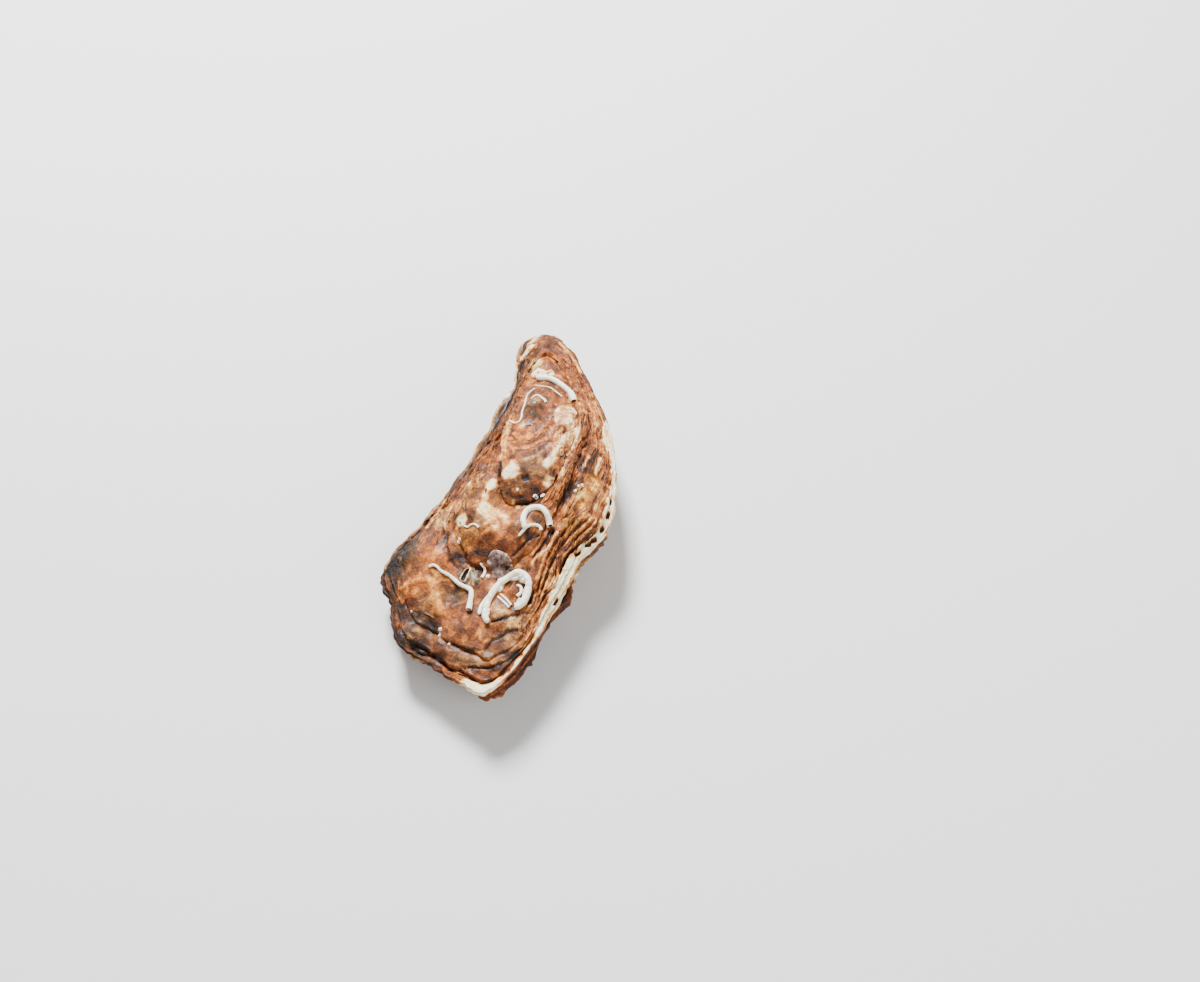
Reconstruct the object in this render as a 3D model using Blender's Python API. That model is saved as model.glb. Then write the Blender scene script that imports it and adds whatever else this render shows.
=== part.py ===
"""A whole, shut Pacific oyster, lying on its cupped lower valve with the flatter upper valve on top.

The hinge (umbo) points along +Y, the growing edge along -Y. Z = 0 is the surface that it rests on.
Both valves are lofts: closed growth rings, drawn in plan, that are lifted to their heights ring by ring.
Chalky worm tubes and a barnacle are cemented to the upper valve.
"""

import bmesh
import bpy
import numpy as np
from mathutils import Vector

MM = 0.001
COLUMNS = 76  # points round every growth ring
GAP = 0.3  # between touching pieces, in millimetres, like every size below
MERGED_WITHIN = 0.001  # points of a loft this close are one point

# Plan of the growing edge, from the umbo clockwise as seen from above.
MARGIN = [(-8, 60.8), (-1.5, 58), (5, 51.2), (11, 43), (17, 35), (21.5, 26.5), (25.2, 16), (27.8, 6),
          (28.2, -1), (26, -8), (23, -14), (21.8, -21), (20, -30), (17, -42), (13.2, -52), (7.5, -59),
          (1.5, -57.4), (-8, -54.6), (-19.5, -50), (-24, -44), (-26, -38.5), (-31, -32.5), (-30, -24),
          (-24.5, -12.5), (-20.5, -1), (-16.7, 14), (-13.6, 28), (-12.2, 42), (-14.2, 56.5)]
# Plans of the older growing edges, now the rims of two mounds, and of the swirl round the first one's top.
SECOND_MOUND = [(-6.5, 53.5), (2, 47.5), (10, 38), (14, 26), (15, 12), (13.5, 0), (11.5, -10), (8.5, -17.5),
                (3, -22.5), (-4, -23.8), (-10, -21.5), (-14.3, -15.5), (-16.5, -7), (-15.2, 2), (-13.3, 13),
                (-12, 26), (-11.2, 40)]
FIRST_MOUND = [(-6, 50.5), (1.5, 45), (7.5, 36), (10.5, 24), (11, 12), (9.5, 3), (5.5, -2), (0, -3.2),
               (-5, -0.5), (-8, 7), (-9.8, 17), (-10.6, 28), (-10.2, 40)]
SWIRL = [(-4.5, 41), (1, 38), (4, 31), (3, 22), (-1.5, 16), (-7, 19), (-9, 27), (-8, 36)]
SWIRL_CENTRE = (-3.5, 30)

# The parting between the valves: its height at the origin, its tilt across, and its dip towards the front.
PARTING_HEIGHT = 14.5
PARTING_TILT = 0.09
PARTING_DIP = 0.05
DIP_STARTS = -10.0

# Height of the upper valve's crown above the parting, along Y from the growing edge to the umbo.
CROWN_AT = (-57, -45, -30, -10, 10, 30, 47, 57)
CROWN = (3.5, 4.6, 6.6, 9.6, 12.3, 11.8, 8.0, 5.5)
EDGE_RIGHT, EDGE_LEFT = 2.6, 1.3  # thickness of the upper valve's edge on the two flanks
EDGE_BLEND = 15.0  # how far either side of X = 0 one thickness eases into the other
EDGE_SWELL, EDGE_SWELL_AT = 0.2, 0.75  # how far the edge bulges outwards, and how high up its thickness
SHOULDER = 6.5  # how far in from the edge the crown is mostly reached

# Steps in the upper valve, one at each old growing edge: the rise up to it and the drop after it.
STEP_FIRST, STEP_SECOND, STEP_THIRD, STEP_LAST = (1.0, 1.8), (0.8, 1.6), (0.5, 0.8), (0.4, 0.7)
THIRD_RING, LAST_RING = 0.75, 0.9  # where the last two old edges lie, from the second mound to the margin
STEP_LEAST = 0.35  # the steps' share left towards the umbo
STEPS_FADE = (5.0, 40.0)  # where along Y they fade
# Where the upper valve's rings lie in each stage between two old edges: 0 at the older, 1 at the newer.
SWIRL_RINGS = (0, 0.35, 0.7, 1)
FIRST_RINGS = (0.3, 0.6, 0.85, 1)
SECOND_RINGS = (0.04, 0.3, 0.6, 0.85, 1)
THIRD_RINGS = (0.05, 0.35, 0.7, 1)
LAST_RINGS = (0.12, 0.6, 1)
MARGIN_RINGS = (0.3, 0.85)
CAP_RINGS = (0, 0.3, 0.65, 1)  # rings from either valve's edge in to the middle of its parting face

# The lower valve: the lip under the parting, the flat foot, the tiers of its old edges and its radial folds.
LIP_HEIGHT = 2.0
REACH_LEFT, REACH_RIGHT = 0.9, -0.9  # how far the lower valve reaches past the upper one on each flank
REACH_BLEND = (-12.0, 12.0)  # where along X one flank's reach eases into the other's
REACH_FRONT, REACH_CORNER, FRONT_STARTS, FRONT_FULL = -1.6, 0.7, -20.0, -48.0  # and at the growing edge
CORNER_BLEND = (3.0, 13.0)  # where along X the reach at the growing edge eases into that of its right corner
LOBE_AT, LOBE_WIDTH, LOBE_REACH = -25.0, 4.5, 2.4  # a lobe of the lower valve that stands out on the right
LOBE_BLEND = (5.0, 15.0)
LIP_ROWS = ((0.5, 0.4), (1.0, 0.1))  # rings under the lip: how far down it each lies, and how far it bulges
FOOT_CENTRE, FOOT_HALF = (-1.5, -5.0), (8.0, 19.0)
TIERS = 5
TIER_FLARE, TIER_FADE = 1.3, 0.75  # how far a tier stands out at the lip, and the share lost down to the foot
# Rings of a tier: how far down its tier each lies, and its share of the flare.
TIER_ROWS = ((0.12, 0.1), (0.55, 0.5), (0.9, 1.0))
FOLDS = 9
FOLD_DEPTH = 0.9
CUP_FULLNESS = 0.62  # below 1 makes the cup's wall steeper at the lip

SPLINE_STEPS = 24  # points along a spline between two given ones
MARGIN_POINTS = 400  # points on the growing edge that distances from it are measured to
RAYS_FROM = 100.0  # height from which the upper valve's surface is felt for


def closed_spline(points, count=COLUMNS):
    """Evenly spaced points on a smooth closed curve through the given ones."""
    knots = np.array(points, float)
    before, after, beyond = (np.roll(knots, n, axis=0) for n in (1, -1, -2))
    t = np.linspace(0, 1, SPLINE_STEPS, endpoint=False)[None, :, None]
    p0, p1, p2, p3 = (k[:, None, :] for k in (before, knots, after, beyond))
    curve = 0.5 * (2 * p1 + (p2 - p0) * t + (2 * p0 - 5 * p1 + 4 * p2 - p3) * t**2
                   + (3 * p1 - p0 - 3 * p2 + p3) * t**3)
    curve = curve.reshape(-1, 2)
    closed = np.vstack([curve, curve[:1]])
    along = np.concatenate([[0], np.cumsum(np.linalg.norm(np.diff(closed, axis=0), axis=1))])
    at = np.linspace(0, along[-1], count, endpoint=False)
    return np.stack([np.interp(at, along, closed[:, k]) for k in range(2)], axis=1)


def mix(a, b, share):
    return a + (b - a) * share


def smooth(low, high, value):
    """0 below low, 1 above high, and an easy rise between them."""
    t = np.clip((value - low) / (high - low), 0, 1)
    return t * t * (3 - 2 * t)


margin = closed_spline(MARGIN)
second = closed_spline(SECOND_MOUND)
first = closed_spline(FIRST_MOUND)
swirl = closed_spline(SWIRL)
swirl_top = np.broadcast_to(np.array(SWIRL_CENTRE, float), margin.shape)
fine_margin = closed_spline(MARGIN, MARGIN_POINTS)


def outward(ring):
    """Unit normals of a ring in plan, pointing away from its inside."""
    along = np.roll(ring, -1, axis=0) - np.roll(ring, 1, axis=0)
    normal = np.stack([-along[:, 1], along[:, 0]], axis=1)
    normal /= np.linalg.norm(normal, axis=1)[:, None]
    return normal if ((ring - ring.mean(axis=0)) * normal).sum() > 0 else -normal


def inside_margin(plan):
    """Distance of each plan point from the growing edge."""
    gaps = plan[:, None, :] - fine_margin[None, :, :]
    return np.linalg.norm(gaps, axis=2).min(axis=1)


def parting(plan):
    """Height of the surface where the valves meet."""
    x, y = plan[:, 0], plan[:, 1]
    return PARTING_HEIGHT + PARTING_TILT * x - PARTING_DIP * np.clip(DIP_STARTS - y, 0, None)


def edge_thickness(plan):
    return mix(EDGE_LEFT, EDGE_RIGHT, smooth(-EDGE_BLEND, EDGE_BLEND, plan[:, 0]))


def crown(plan):
    """Height of the upper valve, before its steps."""
    edge = edge_thickness(plan)
    full = np.interp(plan[:, 1], CROWN_AT, CROWN)
    return parting(plan) + edge + (full - edge) * (1 - np.exp(-inside_margin(plan) / SHOULDER))


def lifted(plan, height):
    return np.column_stack([plan, height])


def stage(inner, outer, drop, rise, shares):
    """Rings from one old edge, where the surface has just dropped, out to the next, where it has risen."""
    rings = []
    for share in shares:
        plan = mix(inner, outer, share)
        offset = rise * share**2 - drop * (1 - share)**2
        steepness = ventral_share(plan)
        rings.append(lifted(plan, crown(plan) + offset * steepness))
    return rings


def ventral_share(plan):
    """Steps are deepest towards the growing edge and fade towards the umbo, where the rings crowd."""
    near_edge, near_umbo = STEPS_FADE
    return mix(STEP_LEAST, 1.0, smooth(near_umbo, near_edge, plan[:, 1]))


def shell(name, rings, material):
    """A closed solid lofted through the rings. The first and the last ring are single points."""
    table = np.array(rings)
    rows = len(table)
    bm = bmesh.new()
    bmesh.ops.create_grid(bm, x_segments=COLUMNS, y_segments=rows - 1, size=1)
    for vert in bm.verts:
        column = round((vert.co.x + 1) / 2 * COLUMNS) % COLUMNS
        row = round((vert.co.y + 1) / 2 * (rows - 1))
        vert.co = Vector(table[row, column]) * MM
    bmesh.ops.remove_doubles(bm, verts=bm.verts, dist=MERGED_WITHIN * MM)
    bmesh.ops.recalc_face_normals(bm, faces=bm.faces)
    mesh = bpy.data.meshes.new(name)
    bm.to_mesh(mesh)
    bm.free()
    mesh.shade_smooth()
    mesh.materials.append(material)
    made = bpy.data.objects.new(name, mesh)
    bpy.context.scene.collection.objects.link(made)
    return made


def finish(name, colour, roughness):
    material = bpy.data.materials.new(name)
    material.use_nodes = True
    surface = material.node_tree.nodes["Principled BSDF"]
    surface.inputs["Base Color"].default_value = (*colour, 1)
    surface.inputs["Roughness"].default_value = roughness
    surface.inputs["Metallic"].default_value = 0
    return material


def parting_face(ring, height, shares):
    """Rings that shrink to a point in the middle of a ring, following the parting."""
    middle = np.broadcast_to(ring.mean(axis=0), ring.shape)
    rings = []
    for share in shares:
        plan = mix(ring, middle, share)
        rings.append(lifted(plan, parting(plan) + height))
    return rings


def upper_valve():
    third = mix(second, margin, THIRD_RING)
    last = mix(second, margin, LAST_RING)
    rings = stage(swirl_top, swirl, 0, 0, SWIRL_RINGS)
    rings += stage(swirl, first, 0, STEP_FIRST[0], FIRST_RINGS)
    rings += stage(first, second, STEP_FIRST[1], STEP_SECOND[0], SECOND_RINGS)
    rings += stage(second, third, STEP_SECOND[1], STEP_THIRD[0], THIRD_RINGS)
    rings += stage(third, last, STEP_THIRD[1], STEP_LAST[0], LAST_RINGS)
    rings += stage(last, margin, STEP_LAST[1], 0, MARGIN_RINGS)
    swollen = margin + EDGE_SWELL * outward(margin)
    rings.append(lifted(swollen, parting(margin) + EDGE_SWELL_AT * edge_thickness(margin)))
    rings += parting_face(margin, GAP / 2, CAP_RINGS)
    return shell("upper_valve", rings, finish("upper shell", (0.42, 0.24, 0.13), 0.45))


def lower_margin():
    """The lower valve's own edge: the upper one's, moved out or in along its normals."""
    x, y = margin[:, 0], margin[:, 1]
    reach = mix(REACH_LEFT, REACH_RIGHT, smooth(*REACH_BLEND, x))
    front = mix(REACH_FRONT, REACH_CORNER, smooth(*CORNER_BLEND, x))
    reach = mix(reach, front, smooth(FRONT_STARTS, FRONT_FULL, y))
    lobe = LOBE_REACH * np.exp(-((y - LOBE_AT) / LOBE_WIDTH) ** 2) * smooth(*LOBE_BLEND, x)
    return margin + outward(margin) * (reach + lobe)[:, None]


def lower_valve():
    turn = np.linspace(0, 2 * np.pi, COLUMNS, endpoint=False)
    edge = lower_margin()
    foot_turn = np.arctan2(edge[:, 0] - FOOT_CENTRE[0], edge[:, 1] - FOOT_CENTRE[1])
    foot_direction = np.stack([np.sin(foot_turn), np.cos(foot_turn)], axis=1)
    foot = np.array(FOOT_CENTRE) + np.array(FOOT_HALF) * foot_direction
    out = outward(edge)
    folds = 0.5 + 0.5 * np.cos(FOLDS * turn)
    lip = parting(edge) - GAP / 2
    rings = parting_face(edge, -GAP / 2, reversed(CAP_RINGS))
    for down, bulge in LIP_ROWS:
        rings.append(lifted(edge + bulge * out, lip - down * LIP_HEIGHT))
    for tier in range(TIERS):
        for within, flare in TIER_ROWS:
            deep = (tier + within) / TIERS
            angle = deep * np.pi / 2
            plan = mix(foot, edge, np.cos(angle) ** CUP_FULLNESS)
            proud = TIER_FLARE * flare * (1 - TIER_FADE * deep) - FOLD_DEPTH * folds * np.sin(2 * angle)
            height = (lip - LIP_HEIGHT) * (1 - np.sin(angle))
            rings.append(lifted(plan + out * proud[:, None], height))
    rings.append(lifted(foot, np.zeros(COLUMNS)))
    rings.append(lifted(np.broadcast_to(FOOT_CENTRE, foot.shape), np.zeros(COLUMNS)))
    return shell("lower_valve", rings, finish("lower shell", (0.3, 0.19, 0.11), 0.55))


# Worm tubes on the upper valve: plan route and radius. Each lies on the shell, a gap above it.
TUBES = {
    "tube_crest": ([(-5.5, 41.3), (-2.5, 41), (0, 40.3), (3, 38.8), (5.8, 37.2), (7.4, 35.3),
                    (7.8, 34.3)], 0.9),
    "tube_hook": ([(6.3, -12), (5, -9.5), (5, -6.7), (6.2, -5.2), (8.3, -4.7), (10, -5.3), (11.7, -7),
                   (12.7, -8.8)], 0.8),
    "tube_bar": ([(-17.8, -27.4), (-17, -26.8), (-15.7, -27), (-14.2, -27.9), (-11.7, -28.5), (-9.9, -29.4),
                  (-7.8, -30.4), (-4.5, -31.4), (-3.6, -32.8), (-3.2, -35.2), (-2.9, -37.3)], 0.7),
    "tube_crook": ([(3.1, -39.7), (2, -38), (1.7, -35), (1.9, -31.7), (2.9, -28.4), (4.3, -26.3), (6, -24.6),
                    (7.8, -23.8), (9.9, -24.4), (11.4, -26.4), (11.8, -29.1), (11.5, -31.6), (10.6, -33.2),
                    (9.6, -33.6)], 0.95),
}
TUBE_POINT_SPACING = 1.0


def open_spline(points, spacing):
    """Evenly spaced points on a smooth open curve through the given ones."""
    knots = np.array(points, float)
    knots = np.vstack([2 * knots[0] - knots[1], knots, 2 * knots[-1] - knots[-2]])
    t = np.linspace(0, 1, SPLINE_STEPS, endpoint=False)[:, None]
    pieces = []
    for p0, p1, p2, p3 in zip(knots, knots[1:], knots[2:], knots[3:]):
        pieces.append(0.5 * (2 * p1 + (p2 - p0) * t + (2 * p0 - 5 * p1 + 4 * p2 - p3) * t**2
                             + (3 * p1 - p0 - 3 * p2 + p3) * t**3))
    curve = np.vstack([*pieces, knots[-2:-1]])
    along = np.concatenate([[0], np.cumsum(np.linalg.norm(np.diff(curve, axis=0), axis=1))])
    at = np.linspace(0, along[-1], max(3, int(along[-1] / spacing) + 1))
    return np.stack([np.interp(at, along, curve[:, k]) for k in range(2)], axis=1)


def surface_above(valve, plan, reach):
    """Highest point of the valve within reach of each plan point."""
    heights = []
    for x, y in plan:
        found = []
        for dx, dy in ((0, 0), (reach, 0), (-reach, 0), (0, reach), (0, -reach)):
            hit, where, _, _ = valve.ray_cast(Vector((x + dx, y + dy, RAYS_FROM)) * MM, Vector((0, 0, -1)))
            if hit:
                found.append(where.z / MM)
        heights.append(max(found))
    return np.array(heights)


def worm_tube(name, route, radius, valve, material):
    """A round tube that follows the valve's surface, a gap above it."""
    plan = open_spline(route, TUBE_POINT_SPACING)
    height = surface_above(valve, plan, radius) + radius + GAP
    padded = np.concatenate([height[:1], height, height[-1:]])
    height = np.maximum.reduce([padded[:-2], height, padded[2:]])
    curve = bpy.data.curves.new(name, "CURVE")
    curve.dimensions = "3D"
    curve.bevel_depth = radius * MM
    curve.bevel_resolution = 2
    curve.use_fill_caps = True
    line = curve.splines.new("POLY")
    line.points.add(len(plan) - 1)
    for point, (x, y), z in zip(line.points, plan, height):
        point.co = (x * MM, y * MM, z * MM, 1)
    curve.materials.append(material)
    made = bpy.data.objects.new(name, curve)
    bpy.context.scene.collection.objects.link(made)
    return made


BARNACLE_AT = (-7.2, -27.2)
BARNACLE_BASE, BARNACLE_TOP, BARNACLE_HEIGHT = 1.8, 0.9, 1.8
BARNACLE_PLATES = 6


def barnacle(valve, material):
    """A small acorn barnacle: six plates leaning in to a narrower top."""
    bm = bmesh.new()
    bmesh.ops.create_cone(bm, cap_ends=True, segments=BARNACLE_PLATES, radius1=BARNACLE_BASE * MM,
                          radius2=BARNACLE_TOP * MM, depth=BARNACLE_HEIGHT * MM)
    mesh = bpy.data.meshes.new("barnacle")
    bm.to_mesh(mesh)
    bm.free()
    mesh.materials.append(material)
    made = bpy.data.objects.new("barnacle", mesh)
    base = surface_above(valve, [BARNACLE_AT], BARNACLE_BASE)[0]
    made.location = Vector((*BARNACLE_AT, base + GAP + BARNACLE_HEIGHT / 2)) * MM
    bpy.context.scene.collection.objects.link(made)
    return made


def centre_on_origin(objects):
    """Moves everything so that the origin is under the middle of the whole oyster."""
    bpy.context.view_layer.update()
    corners = [o.matrix_world @ Vector(c) for o in objects for c in o.bound_box]
    for axis in (0, 1):
        low = min(c[axis] for c in corners)
        high = max(c[axis] for c in corners)
        for o in objects:
            o.location[axis] -= (low + high) / 2


def main():
    for old in list(bpy.data.objects):
        bpy.data.objects.remove(old)
    upper = upper_valve()
    lower = lower_valve()
    bpy.context.view_layer.update()
    chalk = finish("worm tube", (0.78, 0.74, 0.66), 0.6)
    pieces = [upper, lower]
    for name, (route, radius) in TUBES.items():
        pieces.append(worm_tube(name, route, radius, upper, chalk))
    pieces.append(barnacle(upper, finish("barnacle plates", (0.45, 0.42, 0.38), 0.6)))
    centre_on_origin(pieces)


main()
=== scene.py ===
import math

import bmesh
import bpy
import numpy as np
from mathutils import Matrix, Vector
from mathutils.bvhtree import BVHTree


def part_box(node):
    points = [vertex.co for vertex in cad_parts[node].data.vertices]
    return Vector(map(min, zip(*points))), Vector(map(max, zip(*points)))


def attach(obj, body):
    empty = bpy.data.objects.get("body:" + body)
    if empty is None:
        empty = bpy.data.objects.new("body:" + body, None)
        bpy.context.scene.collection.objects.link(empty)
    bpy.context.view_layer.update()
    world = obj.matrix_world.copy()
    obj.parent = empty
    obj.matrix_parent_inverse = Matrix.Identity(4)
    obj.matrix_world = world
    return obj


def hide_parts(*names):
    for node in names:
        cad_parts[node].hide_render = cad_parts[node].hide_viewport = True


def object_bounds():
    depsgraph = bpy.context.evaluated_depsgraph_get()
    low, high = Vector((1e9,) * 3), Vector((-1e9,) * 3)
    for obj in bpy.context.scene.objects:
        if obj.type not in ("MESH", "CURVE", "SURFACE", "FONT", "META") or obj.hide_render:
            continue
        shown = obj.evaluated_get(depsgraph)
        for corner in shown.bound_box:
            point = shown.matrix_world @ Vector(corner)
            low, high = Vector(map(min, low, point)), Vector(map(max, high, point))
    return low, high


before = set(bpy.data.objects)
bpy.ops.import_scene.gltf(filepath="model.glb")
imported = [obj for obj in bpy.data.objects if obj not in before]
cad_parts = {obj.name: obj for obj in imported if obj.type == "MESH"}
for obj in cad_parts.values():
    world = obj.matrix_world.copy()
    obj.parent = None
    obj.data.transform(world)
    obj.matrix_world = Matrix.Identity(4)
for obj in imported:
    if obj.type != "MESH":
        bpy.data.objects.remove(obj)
cad_low, cad_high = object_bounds()

# ---------------------------------------------------------------------------------------------------
# Camera: it looks down on the oyster from a little to the right of the growing edge.

MM = 0.001
VIEW_AZIMUTH, VIEW_ELEVATION = math.radians(15), math.radians(60)
VIEW_DISTANCE = 460 * MM
AIM_RIGHT, AIM_BACK = 21.5 * MM, 18 * MM  # how far past the middle of the oyster the camera is aimed
LENS, SENSOR = 45, 36  # focal length and sensor width, in millimetres
middle = (cad_low + cad_high) / 2
aim = Vector((middle.x + AIM_RIGHT, middle.y + AIM_BACK, 0))
back = Vector((math.sin(VIEW_AZIMUTH) * math.cos(VIEW_ELEVATION),
               -math.cos(VIEW_AZIMUTH) * math.cos(VIEW_ELEVATION), math.sin(VIEW_ELEVATION)))
lens = bpy.data.cameras.new("camera")
lens.lens, lens.sensor_width = LENS, SENSOR
lens.clip_start, lens.clip_end = 0.01, 20
camera = bpy.data.objects.new("camera", lens)
camera.location = aim + back * VIEW_DISTANCE
camera.rotation_euler = (-back).to_track_quat("-Z", "Y").to_euler()
bpy.context.scene.collection.objects.link(camera)
bpy.context.scene.camera = camera

# ---------------------------------------------------------------------------------------------------
# Floor and light: a pale matt floor, a soft key light from behind on the left, a wider and weaker one
# from the front right, and a pale sky.

FLOOR_HALF = 6
floor_mesh = bpy.data.meshes.new("floor")
bm = bmesh.new()
bmesh.ops.create_grid(bm, x_segments=1, y_segments=1, size=FLOOR_HALF)
bm.to_mesh(floor_mesh)
bm.free()
floor = bpy.data.objects.new("floor", floor_mesh)
bpy.context.scene.collection.objects.link(floor)
floor_finish = bpy.data.materials.new("floor")
floor_finish.use_nodes = True
floor_surface = floor_finish.node_tree.nodes["Principled BSDF"]
floor_surface.inputs["Base Color"].default_value = (0.75, 0.75, 0.75, 1)
floor_surface.inputs["Roughness"].default_value = 0.8
floor_mesh.materials.append(floor_finish)


def soft_light(name, position, size, power):
    """A square soft light of the given side, aimed at the middle of the oyster."""
    light = bpy.data.lights.new(name, "AREA")
    light.size = size
    light.energy = power
    lamp = bpy.data.objects.new(name, light)
    lamp.location = Vector(position)
    lamp.rotation_euler = (Vector(position) - middle).to_track_quat("Z", "Y").to_euler()
    bpy.context.scene.collection.objects.link(lamp)


soft_light("key", (-0.35, 0.6, 0.72), 0.26, 38)
soft_light("fill", (0.7, -0.4, 0.6), 0.9, 10)
world = bpy.data.worlds.new("sky")
world.use_nodes = True
sky = world.node_tree.nodes["Background"]
sky.inputs["Color"].default_value = (1, 0.98, 0.95, 1)
sky.inputs["Strength"].default_value = 0.3
bpy.context.scene.world = world

# ---------------------------------------------------------------------------------------------------
# Upper valve: the flatter valve, grown in shingles of horn and chalk from the umbo outwards. It is
# lofted through its old growing edges, each band between them ending in a thin lifted lip. All plans
# below are in millimetres, clockwise from the umbo, with the hinge at +Y.

MARGIN = [(-8, 60.8), (-1.5, 58), (5, 51.2), (11, 43), (17, 35), (21.5, 26.5), (25.2, 16), (27.8, 6),
          (28.2, -1), (26, -8), (23, -14), (21.8, -21), (20, -30), (17, -42), (13.2, -52), (7.5, -59),
          (1.5, -57.4), (-8, -54.6), (-19.5, -50), (-24, -44), (-26, -38.5), (-31, -32.5), (-30, -24),
          (-24.5, -12.5), (-20.5, -1), (-16.7, 14), (-13.6, 28), (-12.2, 42), (-14.2, 56.5)]
SECOND_MOUND = [(-6.5, 53.5), (2, 47.5), (10, 38), (14, 26), (15, 12), (13.5, 0), (11.5, -10), (8.5, -17.5),
                (3, -22.5), (-4, -23.8), (-10, -21.5), (-14.3, -15.5), (-16.5, -7), (-15.2, 2), (-13.3, 13),
                (-12, 26), (-11.2, 40)]
FIRST_MOUND = [(-6, 50.5), (1.5, 45), (7.5, 36), (10.5, 24), (11, 12), (9.5, 3), (5.5, -2), (0, -3.2),
               (-5, -0.5), (-8, 7), (-9.8, 17), (-10.6, 28), (-10.2, 40)]
SWIRL = [(-4.5, 41), (1, 38), (4, 31), (3, 22), (-1.5, 16), (-7, 19), (-9, 27), (-8, 36)]
SWIRL_CENTRE = (-3.5, 30)
THIRD_RING, LAST_RING = 0.75, 0.9  # where the last two old edges lie, from the second mound to the margin
COLUMNS = 480  # points round each growth ring
MARGIN_POINTS = 900  # points on the growing edge that distances from it are measured to
MERGED_WITHIN = 0.0001  # points of a loft this close are one point
HALF_GAP = 0.15  # the valves part this far above and below the surface between them
WIDEST_SHINGLE = 2.5  # wider ones have no higher lips
EDGE_ROUND = 49  # radius of a circle as long round as the growing edge
LIP_ROWS = (0.0, 0.45, 0.85, 1.0)  # how far across its shingle each row of points lies
LIP_FACE = 0.07  # share of a shingle's width that its outer face takes
EDGE_RIGHT, EDGE_LEFT = 2.6, 1.3  # thickness of the valve's edge on the two flanks
SHOULDER = 6.5  # how far in from the edge the crown is mostly reached
CROWN_AT = (-57, -45, -30, -10, 10, 30, 47, 57)
CROWN = (3.5, 4.6, 6.6, 9.6, 12.3, 11.8, 8.0, 5.5)
PARTING_HEIGHT, PARTING_TILT, PARTING_DIP, DIP_STARTS = 14.5, 0.09, 0.05, -10.0


def mix(a, b, share):
    return a + (b - a) * share


def smooth(low, high, value):
    """0 below low, 1 above high, and an easy rise between them."""
    t = np.clip((value - low) / (high - low), 0, 1)
    return t * t * (3 - 2 * t)


def mottle(points, size, seed):
    """Smooth noise of about -1 to 1 with lumps of the given size, one or three numbers a lump."""
    p = points / np.asarray(size, float) + np.array((0.31, 0.17, 0.23)) * (seed * 7.7 + 1)
    cell = np.floor(p).astype(np.int64)
    f = p - cell
    ease = f * f * f * (f * (f * 6 - 15) + 10)
    total = np.zeros(p.shape[:-1])
    for corner in np.ndindex(2, 2, 2):
        c = cell + corner
        code = (c[..., 0] * 73856093) ^ (c[..., 1] * 19349663) ^ (c[..., 2] * 83492791) ^ (seed * 2654435)
        dot = 0
        for axis in range(3):
            code = (code * 1103515245 + 12345) & 0x7FFFFFFF
            lean = ((code >> 8) & 0xFFFF) / 32767.5 - 1
            dot = dot + lean * (f[..., axis] - corner[axis])
        share = np.prod(np.where(np.array(corner) == 1, ease, 1 - ease), axis=-1)
        total = total + share * dot
    return total * 1.5


def curve_between(p0, p1, p2, p3, t):
    """Points on a smooth curve from p1 to p2, with p0 before it and p3 after it."""
    return 0.5 * (2 * p1 + (p2 - p0) * t + (2 * p0 - 5 * p1 + 4 * p2 - p3) * t**2
                  + (3 * p1 - p0 - 3 * p2 + p3) * t**3)


def length_along(line):
    return np.concatenate([[0], np.cumsum(np.linalg.norm(np.diff(line, axis=0), axis=1))])


def read_at(line, along, at):
    return np.stack([np.interp(at, along, line[:, k]) for k in range(2)], axis=1)


def closed_curve(points, count=COLUMNS, fine=24):
    """Evenly spaced points on a smooth closed curve through the given ones."""
    knots = np.array(points, float)
    t = np.linspace(0, 1, fine, endpoint=False)[None, :, None]
    curve = curve_between(*(np.roll(knots, n, axis=0)[:, None, :] for n in (1, 0, -1, -2)), t).reshape(-1, 2)
    closed = np.vstack([curve, curve[:1]])
    along = length_along(closed)
    return read_at(closed, along, np.linspace(0, along[-1], count, endpoint=False))


def open_curve(points, spacing, fine=16):
    """Evenly spaced points on a smooth open curve through the given ones."""
    knots = np.array(points, float)
    knots = np.vstack([2 * knots[0] - knots[1], knots, 2 * knots[-1] - knots[-2]])
    t = np.linspace(0, 1, fine, endpoint=False)[:, None]
    pieces = [curve_between(*four, t) for four in zip(knots, knots[1:], knots[2:], knots[3:])]
    curve = np.vstack([*pieces, knots[-2:-1]])
    along = length_along(curve)
    return read_at(curve, along, np.linspace(0, along[-1], max(4, int(along[-1] / spacing) + 1)))


def outward(ring):
    """Unit normals of a ring in plan, pointing away from its inside."""
    along = np.roll(ring, -1, axis=-2) - np.roll(ring, 1, axis=-2)
    normal = np.stack([-along[..., 1], along[..., 0]], axis=-1)
    return normal / np.maximum(np.linalg.norm(normal, axis=-1)[..., None], 1e-6)


margin = closed_curve(MARGIN)
fine_margin = closed_curve(MARGIN, MARGIN_POINTS)
second = closed_curve(SECOND_MOUND)
first = closed_curve(FIRST_MOUND)
swirl = closed_curve(SWIRL)
swirl_top = np.broadcast_to(np.array(SWIRL_CENTRE, float), margin.shape)
third = mix(second, margin, THIRD_RING)
last = mix(second, margin, LAST_RING)
extent = np.array([margin.min(axis=0), margin.max(axis=0)])
box_low, box_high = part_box("upper_valve")
SHIFT = np.array([(box_low.x + box_high.x) / 2, (box_low.y + box_high.y) / 2]) / MM - extent.mean(axis=0)


def inside_margin(plan):
    """Distance of each plan point from the growing edge."""
    return np.array([np.linalg.norm(row[:, None, :] - fine_margin[None, :, :], axis=2).min(axis=1)
                     for row in plan])


def parting(plan):
    """Height of the surface where the valves meet."""
    x, y = plan[..., 0], plan[..., 1]
    return PARTING_HEIGHT + PARTING_TILT * x - PARTING_DIP * np.clip(DIP_STARTS - y, 0, None)


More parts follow.
